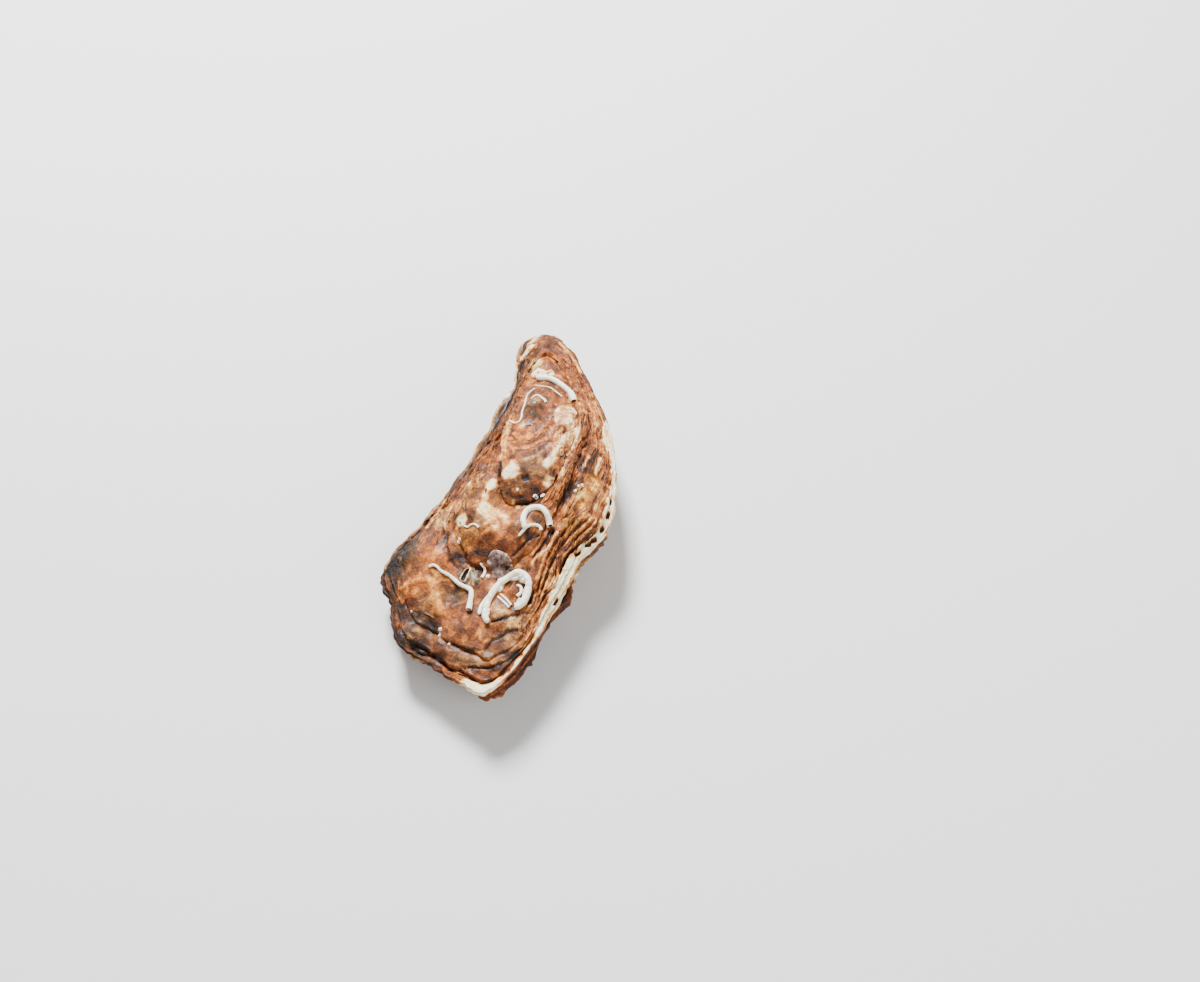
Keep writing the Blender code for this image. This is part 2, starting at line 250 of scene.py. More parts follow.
def crown(plan):
    """Height of the upper valve, before its steps."""
    x, y = plan[..., 0], plan[..., 1]
    edge = mix(EDGE_LEFT, EDGE_RIGHT, smooth(-15, 15, x))
    full = np.interp(y, CROWN_AT, CROWN)
    return parting(plan) + edge + (full - edge) * (1 - np.exp(-inside_margin(plan) / SHOULDER))


def wrapped(name, lofts, finish):
    """One piece from closed lofts, each rows of ring points whose first and last row are single points."""
    whole = bmesh.new()
    for points, paint in lofts:
        rows, columns = points.shape[:2]
        bm = bmesh.new()
        bmesh.ops.create_grid(bm, x_segments=columns, y_segments=rows - 1, size=1)
        grid = np.array([v.co[:2] for v in bm.verts])
        column = np.rint((grid[:, 0] + 1) / 2 * columns).astype(int) % columns
        row = np.rint((grid[:, 1] + 1) / 2 * (rows - 1)).astype(int)
        placed = points[row, column] * MM
        layers = []
        for key, values in paint.items():
            kinds = bm.verts.layers.float if values.ndim == 2 else bm.verts.layers.float_vector
            layers.append((kinds.new(key), values[row, column]))
        for index, vert in enumerate(bm.verts):
            vert.co = placed[index]
            for layer, values in layers:
                vert[layer] = values[index]
        bmesh.ops.remove_doubles(bm, verts=bm.verts, dist=MERGED_WITHIN * MM)
        bmesh.ops.recalc_face_normals(bm, faces=bm.faces)
        loft = bpy.data.meshes.new("loft")
        bm.to_mesh(loft)
        bm.free()
        whole.from_mesh(loft)
        bpy.data.meshes.remove(loft)
    mesh = bpy.data.meshes.new(name)
    whole.to_mesh(mesh)
    whole.free()
    mesh.shade_smooth()
    mesh.materials.append(finish)
    made = bpy.data.objects.new(name, mesh)
    bpy.context.scene.collection.objects.link(made)
    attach(made, "root")
    return made


# The bands: old edges, how many shingles lie before each, and how far the surface steps down after it.
BANDS = [  # from ring, to ring, shingles, drop at the start, rise at the end, bulge between
    (swirl_top, swirl, 4, 0.0, 0.0, 0.0),
    (swirl, first, 10, 0.0, -1.3, 1.2),
    (first, second, 11, 3.0, -1.3, 2.0),
    (second, third, 13, 2.8, 0.4, -0.2),
    (third, last, 4, 0.7, 0.5, 0.1),
    (last, margin, 3, 1.2, 0.0, 0.0),
]
chance = np.random.default_rng(7)
turn = np.linspace(0, 2 * np.pi, COLUMNS, endpoint=False)
AROUND = np.stack([np.cos(turn), np.sin(turn)], axis=1) * EDGE_ROUND

plans, offsets, across, shingle, big = [], [], [], [], []
count = 0
for inner, outer, shingles, drop, rise, bulge in BANDS:
    widths = chance.uniform(0.45, 1.6, shingles)
    ends = np.concatenate([[0], np.cumsum(widths)]) / widths.sum()
    for low_share, high_share in zip(ends[:-1], ends[1:]):
        for part in LIP_ROWS:
            share = mix(low_share, high_share, part if high_share == 1 else part * (1 - LIP_FACE))
            plans.append(mix(inner, outer, share))
            offsets.append(rise * share**5 - drop * (1 - share)**2 + bulge * math.sin(math.pi * share))
            across.append(part)
            shingle.append(count)
            big.append(1.0 if high_share == 1 and part == 1 else 0.0)
        count += 1
plan = np.array(plans)
rows = len(plan)
across, shingle, big = np.array(across)[:, None], np.array(shingle)[:, None], np.array(big)[:, None]
offset = np.array(offsets)[:, None]
growth = (shingle + across) / count * 100


def stacked(flat, deep):
    """Three numbers a point, from two and one."""
    deep = np.broadcast_to(np.asarray(deep, float)[..., None], flat.shape[:2] + (1,))
    return np.concatenate([flat, deep], axis=-1)


def around_at(depth):
    """A place for each column, round the growing edge at one depth, to read noise at."""
    return np.column_stack([AROUND, np.full(COLUMNS, float(depth))])


level_ground = np.zeros((rows, 1))
around_rows = np.broadcast_to(AROUND, plan.shape)
ring_place = stacked(around_rows, growth)
edge_gap = inside_margin(plan)
out = outward(plan)
room = np.linalg.norm(np.gradient(plan, axis=0), axis=-1) * len(LIP_ROWS)  # width of a shingle
room = np.clip(room, 0, WIDEST_SHINGLE)
sideways = np.abs(out[..., 0])
ventral = mix(0.35, 1.0, smooth(40, 5, plan[..., 1])) * mix(1.0, 0.45, smooth(0.5, 1.0, sideways))

# The rings wander in and out a little, and the growing edge is frilled.
edge_place = stacked(around_rows, level_ground)
frill = mottle(edge_place, 5, 61) * 0.5 + mottle(edge_place, 1.8, 62) * 0.55
frill = frill * smooth(3, 0, edge_gap) * mix(1.0, 0.5, smooth(0, 8, plan[..., 0]))
wander = mottle(stacked(plan, level_ground), 9, 1) * 1.6 + mottle(ring_place, (4, 4, 5), 2) * 0.6
wander = wander * smooth(0, 4, edge_gap)
plan = plan + out * (wander + frill)[..., None]
place = stacked(plan, level_ground)
ragged = mottle(place, 3, 22) * 0.5 + mottle(place, 1.2, 23) * 0.35


def near(x, y, half_x, half_y):
    """1 in the middle of a patch with ragged borders, 0 outside it."""
    reach = ((place[..., 0] - x) / half_x) ** 2 + ((place[..., 1] - y) / half_y) ** 2
    return smooth(1.6, 0.3, reach + ragged)


def beside(points, half_width):
    """1 along a smooth line through the points, 0 beyond half_width from it."""
    gap = np.full(place.shape[:2], 99.0)
    for x, y in open_curve(points, half_width * 0.8):
        gap = np.minimum(gap, np.hypot(place[..., 0] - x, place[..., 1] - y))
    return smooth(1.3, 0.5, gap / half_width + 0.4 * ragged)


# Growth lines are strongest on the right flank and down the left one, and the mounds are worn smooth.
flank = smooth(8, 13, plan[..., 0] + 0.12 * plan[..., 1]) * smooth(48, 38, plan[..., 1])
left_band = near(-13, 10, 3.5, 17) + near(-18, -6, 3.5, 12)
lined = 0.03 + 0.75 * flank + 0.4 * left_band + 0.15 * smooth(3, 0, edge_gap) + 0.25 * near(3, 46, 7, 9)
WORN = [(-1, 6, 9, 9), (-5, -10, 9, 9), (-18, -27, 7, 9), (-14, -36, 8, 6), (-3, 28, 5, 7), (20.5, 5, 2, 9)]
for patch in WORN:
    lined = lined * (1 - 0.85 * near(*patch))
lined = np.clip(lined, 0, 1)

# Lips: each shingle rises to its outer edge, more in some stretches than in others, and hangs over.
strength = chance.uniform(0.2, 1.0, count)[shingle]
lip_place = stacked(around_rows, np.broadcast_to(shingle * 9.7, plan.shape[:2]))
stretch = smooth(0.0, 0.6, mottle(lip_place, 7, 3)) * lined
stretch = np.maximum(stretch, big * 0.45)
lip = strength * stretch * np.clip(room * 0.5, 0, 0.8) * mix(1.0, 1.3, big)
chips = mottle(stacked(plan, np.broadcast_to(shingle * 3.1, plan.shape[:2])), 1.3, 5)
height = crown(plan) + offset * ventral + lip * across**1.7
hang = lip * np.where(across == 1, 0.7 + 0.6 * chips, 0) - lip * np.where(across == 0, 0.4, 0)
plan = plan + out * hang[..., None]

# Swellings and hollows: x, y, half widths, height.
SWELLS = [
    (-6, 54, 4, 4, 0.6), (-10.5, 48.5, 1.6, 2, -0.8), (-3, 27, 2.6, 2.4, -0.9), (2, 3.3, 1, 1, -1.0),
    (-13.3, 5, 0.9, 0.9, -0.9), (1, 7, 8, 7, 0.4), (-5, -9, 8, 6, 0.6), (9.3, -8.2, 2, 1.6, -0.7),
    (-17, -24, 4.5, 4, 0.9), (-20, -33.5, 5, 4, 0.9), (-9, -33.2, 4.5, 2.8, -1.2),
    (-17.5, -42.2, 5, 2.6, -0.6), (-12.2, -43.6, 2.6, 2.2, -0.6), (-17.2, -46.8, 3.4, 2.4, 1.2),
    (-2.5, -43.5, 6, 3.5, 0.8), (7.2, -29.3, 2, 1.6, 0.5), (5.5, -36.5, 4, 2.6, 0.6), (0, -51, 8, 2, 0.5),
    (-24, -30, 3, 4, -0.5), (21.5, -3.2, 2, 1.8, 0.4), (8, -50, 4, 2, 0.4),
]
for x, y, half_x, half_y, rise in SWELLS:
    height += rise * np.exp(-((place[..., 0] - x) / half_x) ** 2 - ((place[..., 1] - y) / half_y) ** 2)
rolling = mottle(place, 13, 11) * 0.7 * smooth(0, 6, edge_gap)
height += rolling + mottle(place, 5, 12) * 0.5 * smooth(0, 2, edge_gap)
height += mottle(ring_place, (22, 22, 3.4), 15) * 0.5 * flank * smooth(0, 2, edge_gap)
height += mottle(place, 2.2, 13) * 0.17 + mottle(place, 1.1, 14) * 0.09

# How light the shell is, 0 black to 1 chalk white, in patches: x, y, half widths, level, strength.
LEVELS = [
    (-6, 55, 5, 4, 0.43, 0.9), (-6, 54, 3, 1.5, 0.34, 0.6), (-8.5, 47.5, 2.6, 2.6, 0.85, 0.8),
    (-2, 49, 4, 3, 0.55, 0.6), (4, 45, 5, 7, 0.5, 0.7), (2.5, 27, 2.5, 3.5, 0.5, 0.8),
    (-3, 27.5, 3, 3, 0.3, 0.9), (-2, 25.3, 2.6, 0.9, 0.2, 0.8), (-4, 31.5, 1.7, 1.4, 0.62, 0.7),
    (-2.5, 22.3, 1.9, 1.5, 0.7, 0.8), (7, 27.5, 3.2, 4, 0.8, 0.9), (-9, 29, 2, 5, 0.5, 0.7),
    (-1, 17, 7, 7, 0.66, 0.8), (14, 30, 3.8, 8, 0.69, 0.7), (-5.5, 6.8, 2, 1.4, 0.56, 0.6),
    (3.5, 7, 4, 3.5, 0.5, 0.7), (1, 1.2, 3.5, 1.6, 0.56, 0.6), (-2.7, 4.3, 2.9, 2, 1.0, 1.0),
    # The dark patches at (-3, -1.6) and (3, -3), along the first mound's lower edge, are painted shade, as
    # are the near black spots in the pits at (2, 3.3) and (-13.3, 5).
    (2, 3.3, 1.1, 1.1, 0.12, 1.0), (6.5, 0.2, 3.2, 2.4, 0.36, 0.9), (-3, -1.6, 2.6, 1, 0.3, 0.8),
    (3, -3, 4.5, 0.9, 0.18, 0.9), (8.6, 3.5, 1.7, 3, 0.74, 0.8), (11.5, 1, 2.6, 5, 0.57, 0.8),
    (9.5, -15, 3.4, 6, 0.6, 0.8), (-13, 12, 2.2, 9, 0.42, 0.8), (-13.3, 5, 0.9, 1, 0.08, 1.0),
    (-7.8, 0.3, 1.4, 1.9, 1.0, 1.0), (-14, -3, 2.4, 2.2, 0.5, 0.8), (-11, -7.5, 2.2, 2.5, 0.63, 0.7),
    (-1, -5.5, 4.5, 3, 0.7, 0.7), (-2.5, -11.5, 4.2, 3.2, 0.84, 0.9), (-6.5, -8.2, 3.4, 2.2, 0.97, 0.9),
    (-7.5, -12, 1.6, 3, 0.68, 0.7), (-13, -12, 1.7, 2, 0.98, 0.9), (-15.4, -7, 1, 2.4, 0.92, 0.8),
    (-13.7, -15.6, 0.9, 1.6, 0.82, 0.7), (-9, -17.5, 4, 2.6, 0.5, 0.9), (0, -18, 6, 2.2, 0.37, 0.9),
    # The dark patches at (-4, -20.8) and (-10, -22.3), along the second mound's lower edge, are painted
    # shade.
    (-4, -20.8, 3.2, 0.9, 0.16, 0.9), (-10, -22.3, 2.6, 1.4, 0.18, 0.9), (-6.6, -23, 2, 1.2, 0.46, 0.8),
    (-4, -25, 1.9, 1.5, 0.22, 0.9), (9.3, -8.2, 2, 1.7, 0.42, 0.9), (8.6, -13.4, 2.2, 1.6, 0.22, 0.9),
    (-19, -7, 2.6, 6, 0.62, 0.7), (-17.5, -14.5, 2.6, 4, 0.55, 0.8), (-27, -23, 3.6, 5, 0.4, 0.9),
    (-17, -24, 4.6, 4, 0.64, 0.9), (-26.5, -27.6, 1.8, 1.2, 0.25, 0.8), (-29, -31, 1.6, 1.2, 0.6, 0.7),
    (-28, -29, 3.2, 7, 0.27, 0.9), (-19.5, -33.5, 4.6, 3.7, 0.66, 0.9), (-21, -38.3, 3, 1.8, 0.34, 0.9),
    (-16.5, -37, 2, 2, 0.62, 0.8), (-9, -33.2, 4.2, 3.2, 0.42, 0.9), (-17.5, -42.2, 4.8, 2.6, 0.27, 0.85),
    (-12.2, -43.5, 2.4, 2, 0.14, 1.0), (-20.3, -43.7, 1.2, 0.9, 0.45, 0.7),
    (-17.5, -47.3, 3.2, 2.3, 0.4, 0.9), (-15.7, -45.7, 1.7, 0.9, 0.64, 0.8),
    # The dark patch at (-13, -49.6), just behind the fissure at the front left, is painted shade.
    (-13, -49.6, 3.4, 1.6, 0.28, 0.8), (-2.5, -34.5, 4, 6, 0.47, 0.8), (-15, -33, 3, 6, 0.66, 0.6),
    (-2.5, -43.5, 6.5, 3.6, 0.6, 0.8), (-8, -47.5, 3, 1.4, 0.5, 0.7), (0.5, -51.3, 5.5, 1.5, 0.63, 0.8),
    (8, -49, 3.6, 2.2, 0.47, 0.8), (-12, -52.7, 5, 1.1, 0.6, 0.8), (-3, -55.5, 5, 1.2, 0.6, 0.8),
    (6, -55, 4.5, 1.5, 0.37, 0.9), (11, -51.7, 3, 1.4, 0.36, 0.8), (5.5, -36, 2.6, 2.2, 0.68, 0.8),
    (9.5, -38, 4, 1.6, 0.66, 0.8), (11.5, -43, 3, 2.6, 0.6, 0.8), (12, -47.3, 2.4, 1, 0.25, 0.8),
    (10, -26.8, 0.9, 0.9, 0.04, 0.9), (6, -27, 0.9, 0.7, 0.04, 0.9), (7.2, -29.3, 2, 1.9, 0.63, 0.9),
    (15.5, -22.8, 2, 1, 0.48, 0.7), (20.3, 5, 2.4, 9, 0.64, 0.9), (21.5, -3.2, 1.8, 1.6, 0.74, 0.8),
    (21.3, -5.9, 0.8, 0.9, 0.1, 0.9), (17.3, 4.3, 1.6, 1.6, 0.5, 0.8), (22.5, 18, 1.3, 1, 0.25, 0.9),
    (3.3, -4.6, 2.3, 1.1, 0.7, 0.8),
]
# The same along lines, which are ridges or grooves as well: points, half width, level, strength, height. The
# darkest lines, along mound edges, fissures, undercuts and crevices, are painted shade in and under them.
LINES = [
    ([(-11.2, 23.5), (-10.5, 18.5), (-9.4, 14), (-8, 10), (-6.6, 6), (-6, 3)], 0.6, 0.12, 0.85, -0.4),
    ([(-9.6, 24), (-9.1, 18), (-8, 13), (-7, 9.5)], 1.7, 0.88, 0.9, 0.2),
    ([(9.2, 19), (8.8, 14), (8, 11), (6.8, 8.6)], 1.4, 0.97, 0.9, 0.2),
    ([(10, 22.5), (10.4, 16)], 1.1, 0.9, 0.8, 0.0),
    ([(12, 23.5), (12.4, 17)], 1.1, 0.92, 0.8, 0.0),
    ([(-6, 12.5), (-1, 11.5), (3.5, 14.5), (5.5, 20)], 0.7, 0.44, 0.6, 0.0),
    ([(-5.5, 16), (-1.5, 14.5), (2, 17), (3.5, 21.5)], 0.6, 0.46, 0.5, 0.0),
    ([(12, 8.5), (11.2, 3.5)], 0.9, 0.84, 0.8, 0.2),
    ([(-12.3, 4.5), (-13.3, 2), (-14.6, 0)], 0.55, 0.88, 0.9, 0.2),
    ([(-11.3, 3.5), (-12.3, 0.5)], 0.5, 0.85, 0.8, 0.2),
    ([(-11.2, 17), (-11.7, 11)], 0.5, 0.78, 0.8, 0.2),
    ([(-12.8, 13), (-14.2, 7.5)], 0.5, 0.74, 0.8, 0.2),
    ([(-7.3, 2), (-8.3, -3), (-7.5, -7)], 1.1, 0.93, 0.9, 0.3),
    ([(0.2, -3.8), (2.4, -5.2)], 0.5, 0.88, 0.8, 0.0),
    ([(12.3, -12.5), (9.5, -16.5), (7, -21)], 2.0, 0.62, 0.8, 0.7),
    ([(14, -10), (12.4, -14), (10.6, -19), (10, -22.5)], 0.5, 0.12, 0.9, -0.8),
    ([(10.5, -12.5), (7.5, -15.5), (4.8, -19.5)], 0.4, 0.22, 0.8, -0.4),
    ([(-20.8, -3), (-22, -8), (-23.3, -13.5)], 0.8, 0.94, 0.8, 0.0),
    ([(-16.2, -16), (-15.5, -19.5), (-13.4, -22.5), (-10.7, -24.8), (-8.4, -25.5)], 0.55, 0.14, 0.85, -0.5),
    ([(-24, -34.5), (-20.5, -32), (-17, -31)], 1.0, 0.78, 0.8, 0.5),
    ([(-14.3, -33.5), (-13, -36), (-10.8, -39)], 1.5, 0.76, 0.85, 0.5),
    ([(-16, -50.6), (-13, -51.8), (-9.5, -51.3), (-6.5, -52.4), (-4, -54), (-1, -54.3), (2, -53), (5, -52.6),
      (7.5, -52.1), (9.5, -50.8), (11.8, -49), (13.3, -46.8), (14.6, -44)], 0.38, 0.12, 0.9, -0.6),
    ([(-4.5, -47.5), (-1, -48.7), (2, -48.4), (5, -47), (6.7, -45.8)], 0.45, 0.28, 0.7, -0.3),
    ([(4.5, -39.4), (6.5, -38.4), (8.5, -36.9), (10.5, -35.8), (12.5, -34.8), (14.3, -34.2)],
     0.36, 0.12, 0.9, -0.5),
    ([(5, -47.5), (6, -44.7), (7.7, -43.4), (8.5, -42.2), (10, -40.6), (13, -39.8), (14.5, -39.2)],
     0.36, 0.12, 0.9, -0.5),
    ([(14, -25.5), (13.4, -28.5), (13.2, -31.3)], 0.6, 0.08, 0.95, -0.9),
    ([(13.3, -24.5), (14.2, -22.7), (15.8, -21.6), (17.6, -20.6)], 0.6, 0.95, 0.9, 0.5),
    ([(13.2, -26.7), (14.6, -25.3), (16.2, -24.7), (18.4, -24)], 0.55, 0.88, 0.9, 0.4),
    ([(20, -4.8), (17.5, -6), (16.4, -7.6), (15.5, -10), (14.8, -12.5), (14.2, -15), (12.5, -17), (10.9, -19),
      (10.5, -20.6)], 0.65, 0.94, 0.95, 0.7),
    ([(18.3, 3), (17.2, 0), (16.3, -3.5)], 1.2, 0.9, 0.8, 0.3),
    ([(17.4, 16.5), (17.2, 12)], 0.55, 0.92, 0.9, 0.2),
    ([(20.5, 17), (20.9, 11)], 0.55, 1.0, 1.0, 0.3),
    ([(23.2, 16), (23.7, 8), (24.6, 2), (24, -4)], 0.6, 0.72, 0.8, 0.2),
    ([(22.2, 17.5), (23, 14), (23.2, 9)], 0.5, 0.26, 0.8, -0.3),
    ([(25.3, -5.5), (23.5, -8.5), (21.6, -11.5), (19.8, -14.3), (19.2, -17.5), (18.9, -20.5)],
     0.42, 0.12, 0.9, -0.6),
    ([(24.6, -4), (22.5, -7.5), (20.3, -10.5), (18.5, -13.5), (17.9, -17), (17.6, -21)], 0.5, 0.82, 0.8, 0.3),
    ([(23.8, -4.5), (21.5, -8), (19, -11), (17.4, -14.5), (16.9, -18)], 0.45, 0.25, 0.7, -0.3),
    ([(-11.3, 59.2), (-12, 57), (-12.3, 55)], 0.75, 1.0, 1.0, 0.4),
    ([(-11.3, 54.3), (-12.4, 52.4), (-13.2, 50.6)], 1.3, 0.95, 0.95, 0.3),
    ([(-10.8, 53.6), (-10.5, 52.4)], 0.5, 0.08, 0.95, -0.4),
    ([(-12.8, 49.4), (-12.3, 47.2)], 0.6, 0.12, 0.9, -0.4),
    ([(-3.7, 58.3), (0.3, 55), (3, 52), (6, 48.3)], 0.6, 0.84, 0.85, 0.1),
]
# Arcs across the first mound, and lamellae down the right flank, run between an outer and an inner line.
OUTER_ARC = np.array([(-8.5, 10), (-4, 7.5), (2, 9.5), (6, 15.5), (7.8, 22)])
INNER_ARC = np.array([(-6, 21.5), (-3.5, 20), (-0.5, 21.5), (1.2, 25), (1.8, 28)])
ARCS = 9
for k in range(ARCS):
    arc = mix(OUTER_ARC, INNER_ARC, k / (ARCS - 1))
    LINES.append((arc, 0.42, (0.84, 0.42, 0.7)[k % 3], 0.6, 0.05))
OUTER_LAMELLA = np.array([(24.4, -4.6), (22.4, -8.2), (20.4, -11.2), (18.7, -14.4), (18.1, -18), (17.6, -24),
                          (16, -32), (13.8, -40)])
INNER_LAMELLA = np.array([(19, -3.2), (16.2, -6.6), (15.2, -9.8), (14.2, -13.2), (13.4, -16.6), (12.8, -22.4),
                          (13.4, -31), (11.6, -37)])
LAMELLAE = [(0.1, 0.2, -0.4), (0.25, 0.86, 0.3), (0.42, 0.24, -0.35), (0.56, 0.8, 0.3), (0.72, 0.28, -0.35),
            (0.88, 0.76, 0.25)]  # share of the way in, level, height
for share, value, rise in LAMELLAE:
    LINES.append((mix(OUTER_LAMELLA, INNER_LAMELLA, share), 0.42, value, 0.75, rise))
drift = np.stack([mottle(place, 5, 26), mottle(place, 5, 27)], axis=-1) * 2.5
warped = place + stacked(drift, level_ground)
blotch = mottle(warped, 3.6, 24) + 0.7 * mottle(warped, 1.7, 25)
level = 0.52 + 0.1 * mottle(place, 7, 21)
for x, y, half_x, half_y, value, weight in LEVELS:
    level = mix(level, value, weight * near(x, y, half_x, half_y))
level += 0.17 * blotch * mix(1.0, 0.6, near(-17, -32, 14, 18))
streaks = mottle(ring_place, (26, 26, 3.6), 31) + 0.8 * mottle(ring_place, (16, 16, 1.7), 32)
lined = np.clip(lined + 0.5 * near(-1, 17, 10, 9) * (1 - near(-3, 7, 6, 4)), 0, 1)
level += 0.42 * lined * streaks + 0.07 * flank
# Near the left margin, where the valve falls away, the shell is painted darker: painted shade on that slope.
level -= 0.2 * smooth(5, 0.5, edge_gap) * smooth(-3, -14, place[..., 0])
lip_light = smooth(0.05, 0.35, lip) * smooth(0.7, 1.0, across)
# The foot of each shingle, tucked under the lip before it, is painted darker: painted shade under that
# overhang, deeper under the big lips.
crevice_shade = smooth(0.04, 0.3, lip) * smooth(0.35, 0.0, across)
level += 0.2 * lip_light - mix(0.25, 0.5, np.roll(big, 1, axis=0)) * crevice_shade
for points, half_width, value, weight, rise in LINES:
    share = beside(points, half_width)
    level = mix(level, value, weight * share)
    height += rise * share

# Hues over it: mauve and slate where it is stained, ochre and orange where horn shows through.
MAUVE, SLATE, GREEN = (1.0, 1.7, 2.8), (0.9, 1.8, 3.4), (0.95, 1.4, 2.0)
OCHRE, ORANGE = (1.05, 1.3, 1.0), (1.02, 0.9, 0.6)
HUES = [
    (MAUVE, [(-8.5, 47.5, 3, 3), (-17.5, -41.5, 5, 2.2), (7, 27.5, 3.4, 4.2), (-2.5, 22.3, 2.2, 1.8),
             (-4, 31.5, 2, 1.6), (3.5, 7, 4.5, 4), (8.6, 3.5, 2.2, 3.4), (3.3, -4.5, 2.6, 1.5),
             (-7.5, -12, 2, 3.4), (-13, -12, 1.8, 2), (-20.2, -11, 2.5, 4), (-9, -33.2, 4.6, 3),
             (-17.5, -46.8, 4, 3), (0.5, -51.3, 6, 1.8), (9.5, -38, 4.5, 2), (17.3, 4.3, 1.8, 1.8),
             (5.5, -36, 3, 2.2)]),
    (SLATE, [(-27, -22.5, 4, 5.5)]),
    (OCHRE, [(20.3, 5, 2.4, 9.5), (-15, -33, 4, 6), (-25, -30, 4, 7), (-14, -3, 3, 3), (-9, -17, 5, 3),
             (9.3, -8.2, 2.2, 2), (8, -49, 4, 2.6), (-12, -7, 3, 3), (-3, 27, 3.2, 2.8)]),
    (ORANGE, [(-6, 54, 6, 5), (-17, -23, 5, 4), (-1, 18, 7, 6), (-19.5, -33.5, 5.5, 4.5),
              (-21, -38.3, 4, 2.5), (6.5, 0, 3.4, 2.8), (0, -18, 7, 3), (2.5, 27, 3, 4),
              (7.2, -29.3, 2.3, 2.2), (6, -55, 5, 1.6), (-4, -25, 2, 1.6)]),
    (GREEN, [(-16.5, -37, 2.4, 2.4), (11, -43, 4, 3), (1, 1.3, 4.5, 2.2), (11, 20, 2.4, 4.5)]),
]
hue = mix(np.ones(3), np.array(MAUVE), (0.25 * smooth(0.15, 0.7, mottle(warped, 6, 28)))[..., None])
hue = mix(hue, np.array(OCHRE), (0.5 * smooth(0.1, 0.6, mottle(warped, 8, 29)))[..., None])
for shift, patches in HUES:
    for patch in patches:
        hue = mix(hue, np.array(shift), (0.8 * near(*patch))[..., None])

# The right flank's edge is bare white chalk, widest below the bend, with dark slits and worm holes in it.
RIM = [(-60, 3.8), (-57, 3.8), (-55, 1.4), (-52, 0.6), (-46, 0.5), (-42, 0.8), (-38, 1.2), (-33, 2.1),
       (-30, 1.5), (-27, 2.8), (-24, 2.8), (-15, 2.2), (-10, 2.0), (-5, 1.7), (0, 2.0), (5, 1.9),
       (12, 1.3), (17, 1.2), (19, 0.9), (22, 3.1), (28, 2.8), (33, 0)]  # along Y, and how wide
WALL_LEVEL = 0.3
HOLES = [([(27.3, 1.2), (27.3, -0.2)], 0.5), ([(26.9, -3.9), (26.7, -4.6)], 0.6),
         ([(25.7, -7.7), (25.1, -8.6)], 0.6), ([(24.7, -9.6), (23.7, -10.4)], 0.45),
         ([(22.5, -13), (21.6, -14)], 0.5), ([(20.2, -28.2), (19.8, -29.8)], 0.35),
         ([(26.9, 5.2), (27, 4.2)], 0.4)]
rim_wide = np.interp(place[..., 1], *zip(*RIM)) * smooth(-1, 5, place[..., 0])
rim_ends = edge_gap - rim_wide - mottle(place, 2, 41) * 0.7 - mottle(place, 0.8, 43) * 0.4
rim = smooth(0.4, -0.4, rim_ends) * smooth(0, 0.6, rim_wide)
level = mix(level, 1.0 + 0.08 * mottle(place, 1.5, 42), rim)
lined = mix(lined, 0.25, rim)
hue = mix(hue, np.ones(3), np.maximum(rim, 0.7 * smooth(0.7, 0.95, level))[..., None])
height += 0.35 * rim
edge_level = level[-1].copy()
# The slits and worm holes are painted black: painted shade inside them.
for points, half_width in HOLES:
    hole = beside(points, half_width)
    level = mix(level, 0.0, hole)
    height -= 0.6 * hole

# The edge itself goes down to the parting, and the hidden underside closes the piece.
WALL_ROWS = 12
HANG = 1.1  # how far the upper edge hangs over the cup where it reaches past it
edge_height, edge_plan, edge_out = height[-1], plan[-1], outward(plan[-1])
hang_down = HANG * smooth(-0.3, 0.7, mottle(around_at(0), 6, 53))
hang_down *= smooth(2, 12, edge_plan[:, 0]) * smooth(-48, -40, edge_plan[:, 1])
floor_height = parting(edge_plan) + HALF_GAP - hang_down
# Low on the right towards the front, the edge's wall is painted dark: partly the shell's dark red-brown
# there, partly painted shade under the white rim.
dark_wall_and_shade = smooth(-33, -40, edge_plan[:, 1]) * smooth(-56, -53, edge_plan[:, 1]) * smooth(2, 8, edge_plan[:, 0])
wall_plan, wall_height, wall_level = [], [], []
for step in range(1, WALL_ROWS + 1):
    down = step / WALL_ROWS
    spot = around_at(down * 3)
    uneven = 0.35 * mottle(spot, (4, 4, 0.7), 51) + 0.25 * mottle(spot, (9, 9, 0.4), 55)
    swell = 0.35 * math.sin(math.pi * down) + uneven * (1 - 0.4 * down)
    wall_plan.append(edge_plan + edge_out * swell[:, None])
    wall_height.append(mix(edge_height, floor_height, down))
    layers = 0.25 * mottle(spot, (5, 5, 0.5), 52) + 0.4 * mottle(spot, (14, 14, 0.35), 54) - 0.12
    wall_level.append(mix(edge_level, WALL_LEVEL, 0.85 * dark_wall_and_shade * min(1, 2 * down)) + layers * min(1, 3 * down))
for share in (0.3, 0.65, 1.0):
    under = mix(edge_plan, edge_plan.mean(axis=0), share)
    wall_plan.append(under)
    wall_height.append(parting(under) + HALF_GAP)
    wall_level.append(np.full(COLUMNS, WALL_LEVEL))
extra = len(wall_plan)
wall_grain = stacked(np.repeat(AROUND[None], extra, axis=0), np.linspace(100, 104, extra)[:, None])
upper_points = stacked(np.concatenate([plan, wall_plan]) + SHIFT, np.concatenate([height, wall_height]))
upper_paint = {
    "level": np.concatenate([level, wall_level]),
    "lined": np.concatenate([lined, np.full((extra, COLUMNS), 0.4)]),
    "hue": np.concatenate([hue, np.repeat(hue[-1:], extra, axis=0)]),
    "grain": np.concatenate([ring_place, wall_grain]),
}
SHELL_TONES = [(0.0, (0.004, 0.002, 0.001)), (0.18, (0.015, 0.005, 0.002)), (0.35, (0.052, 0.0145, 0.004)),
               (0.5, (0.135, 0.035, 0.008)), (0.65, (0.34, 0.094, 0.018)), (0.8, (0.7, 0.28, 0.062)),
               (0.92, (0.93, 0.63, 0.24)), (1.0, (0.95, 0.89, 0.66))]
WHITEST = (0.94, 0.9, 0.84)


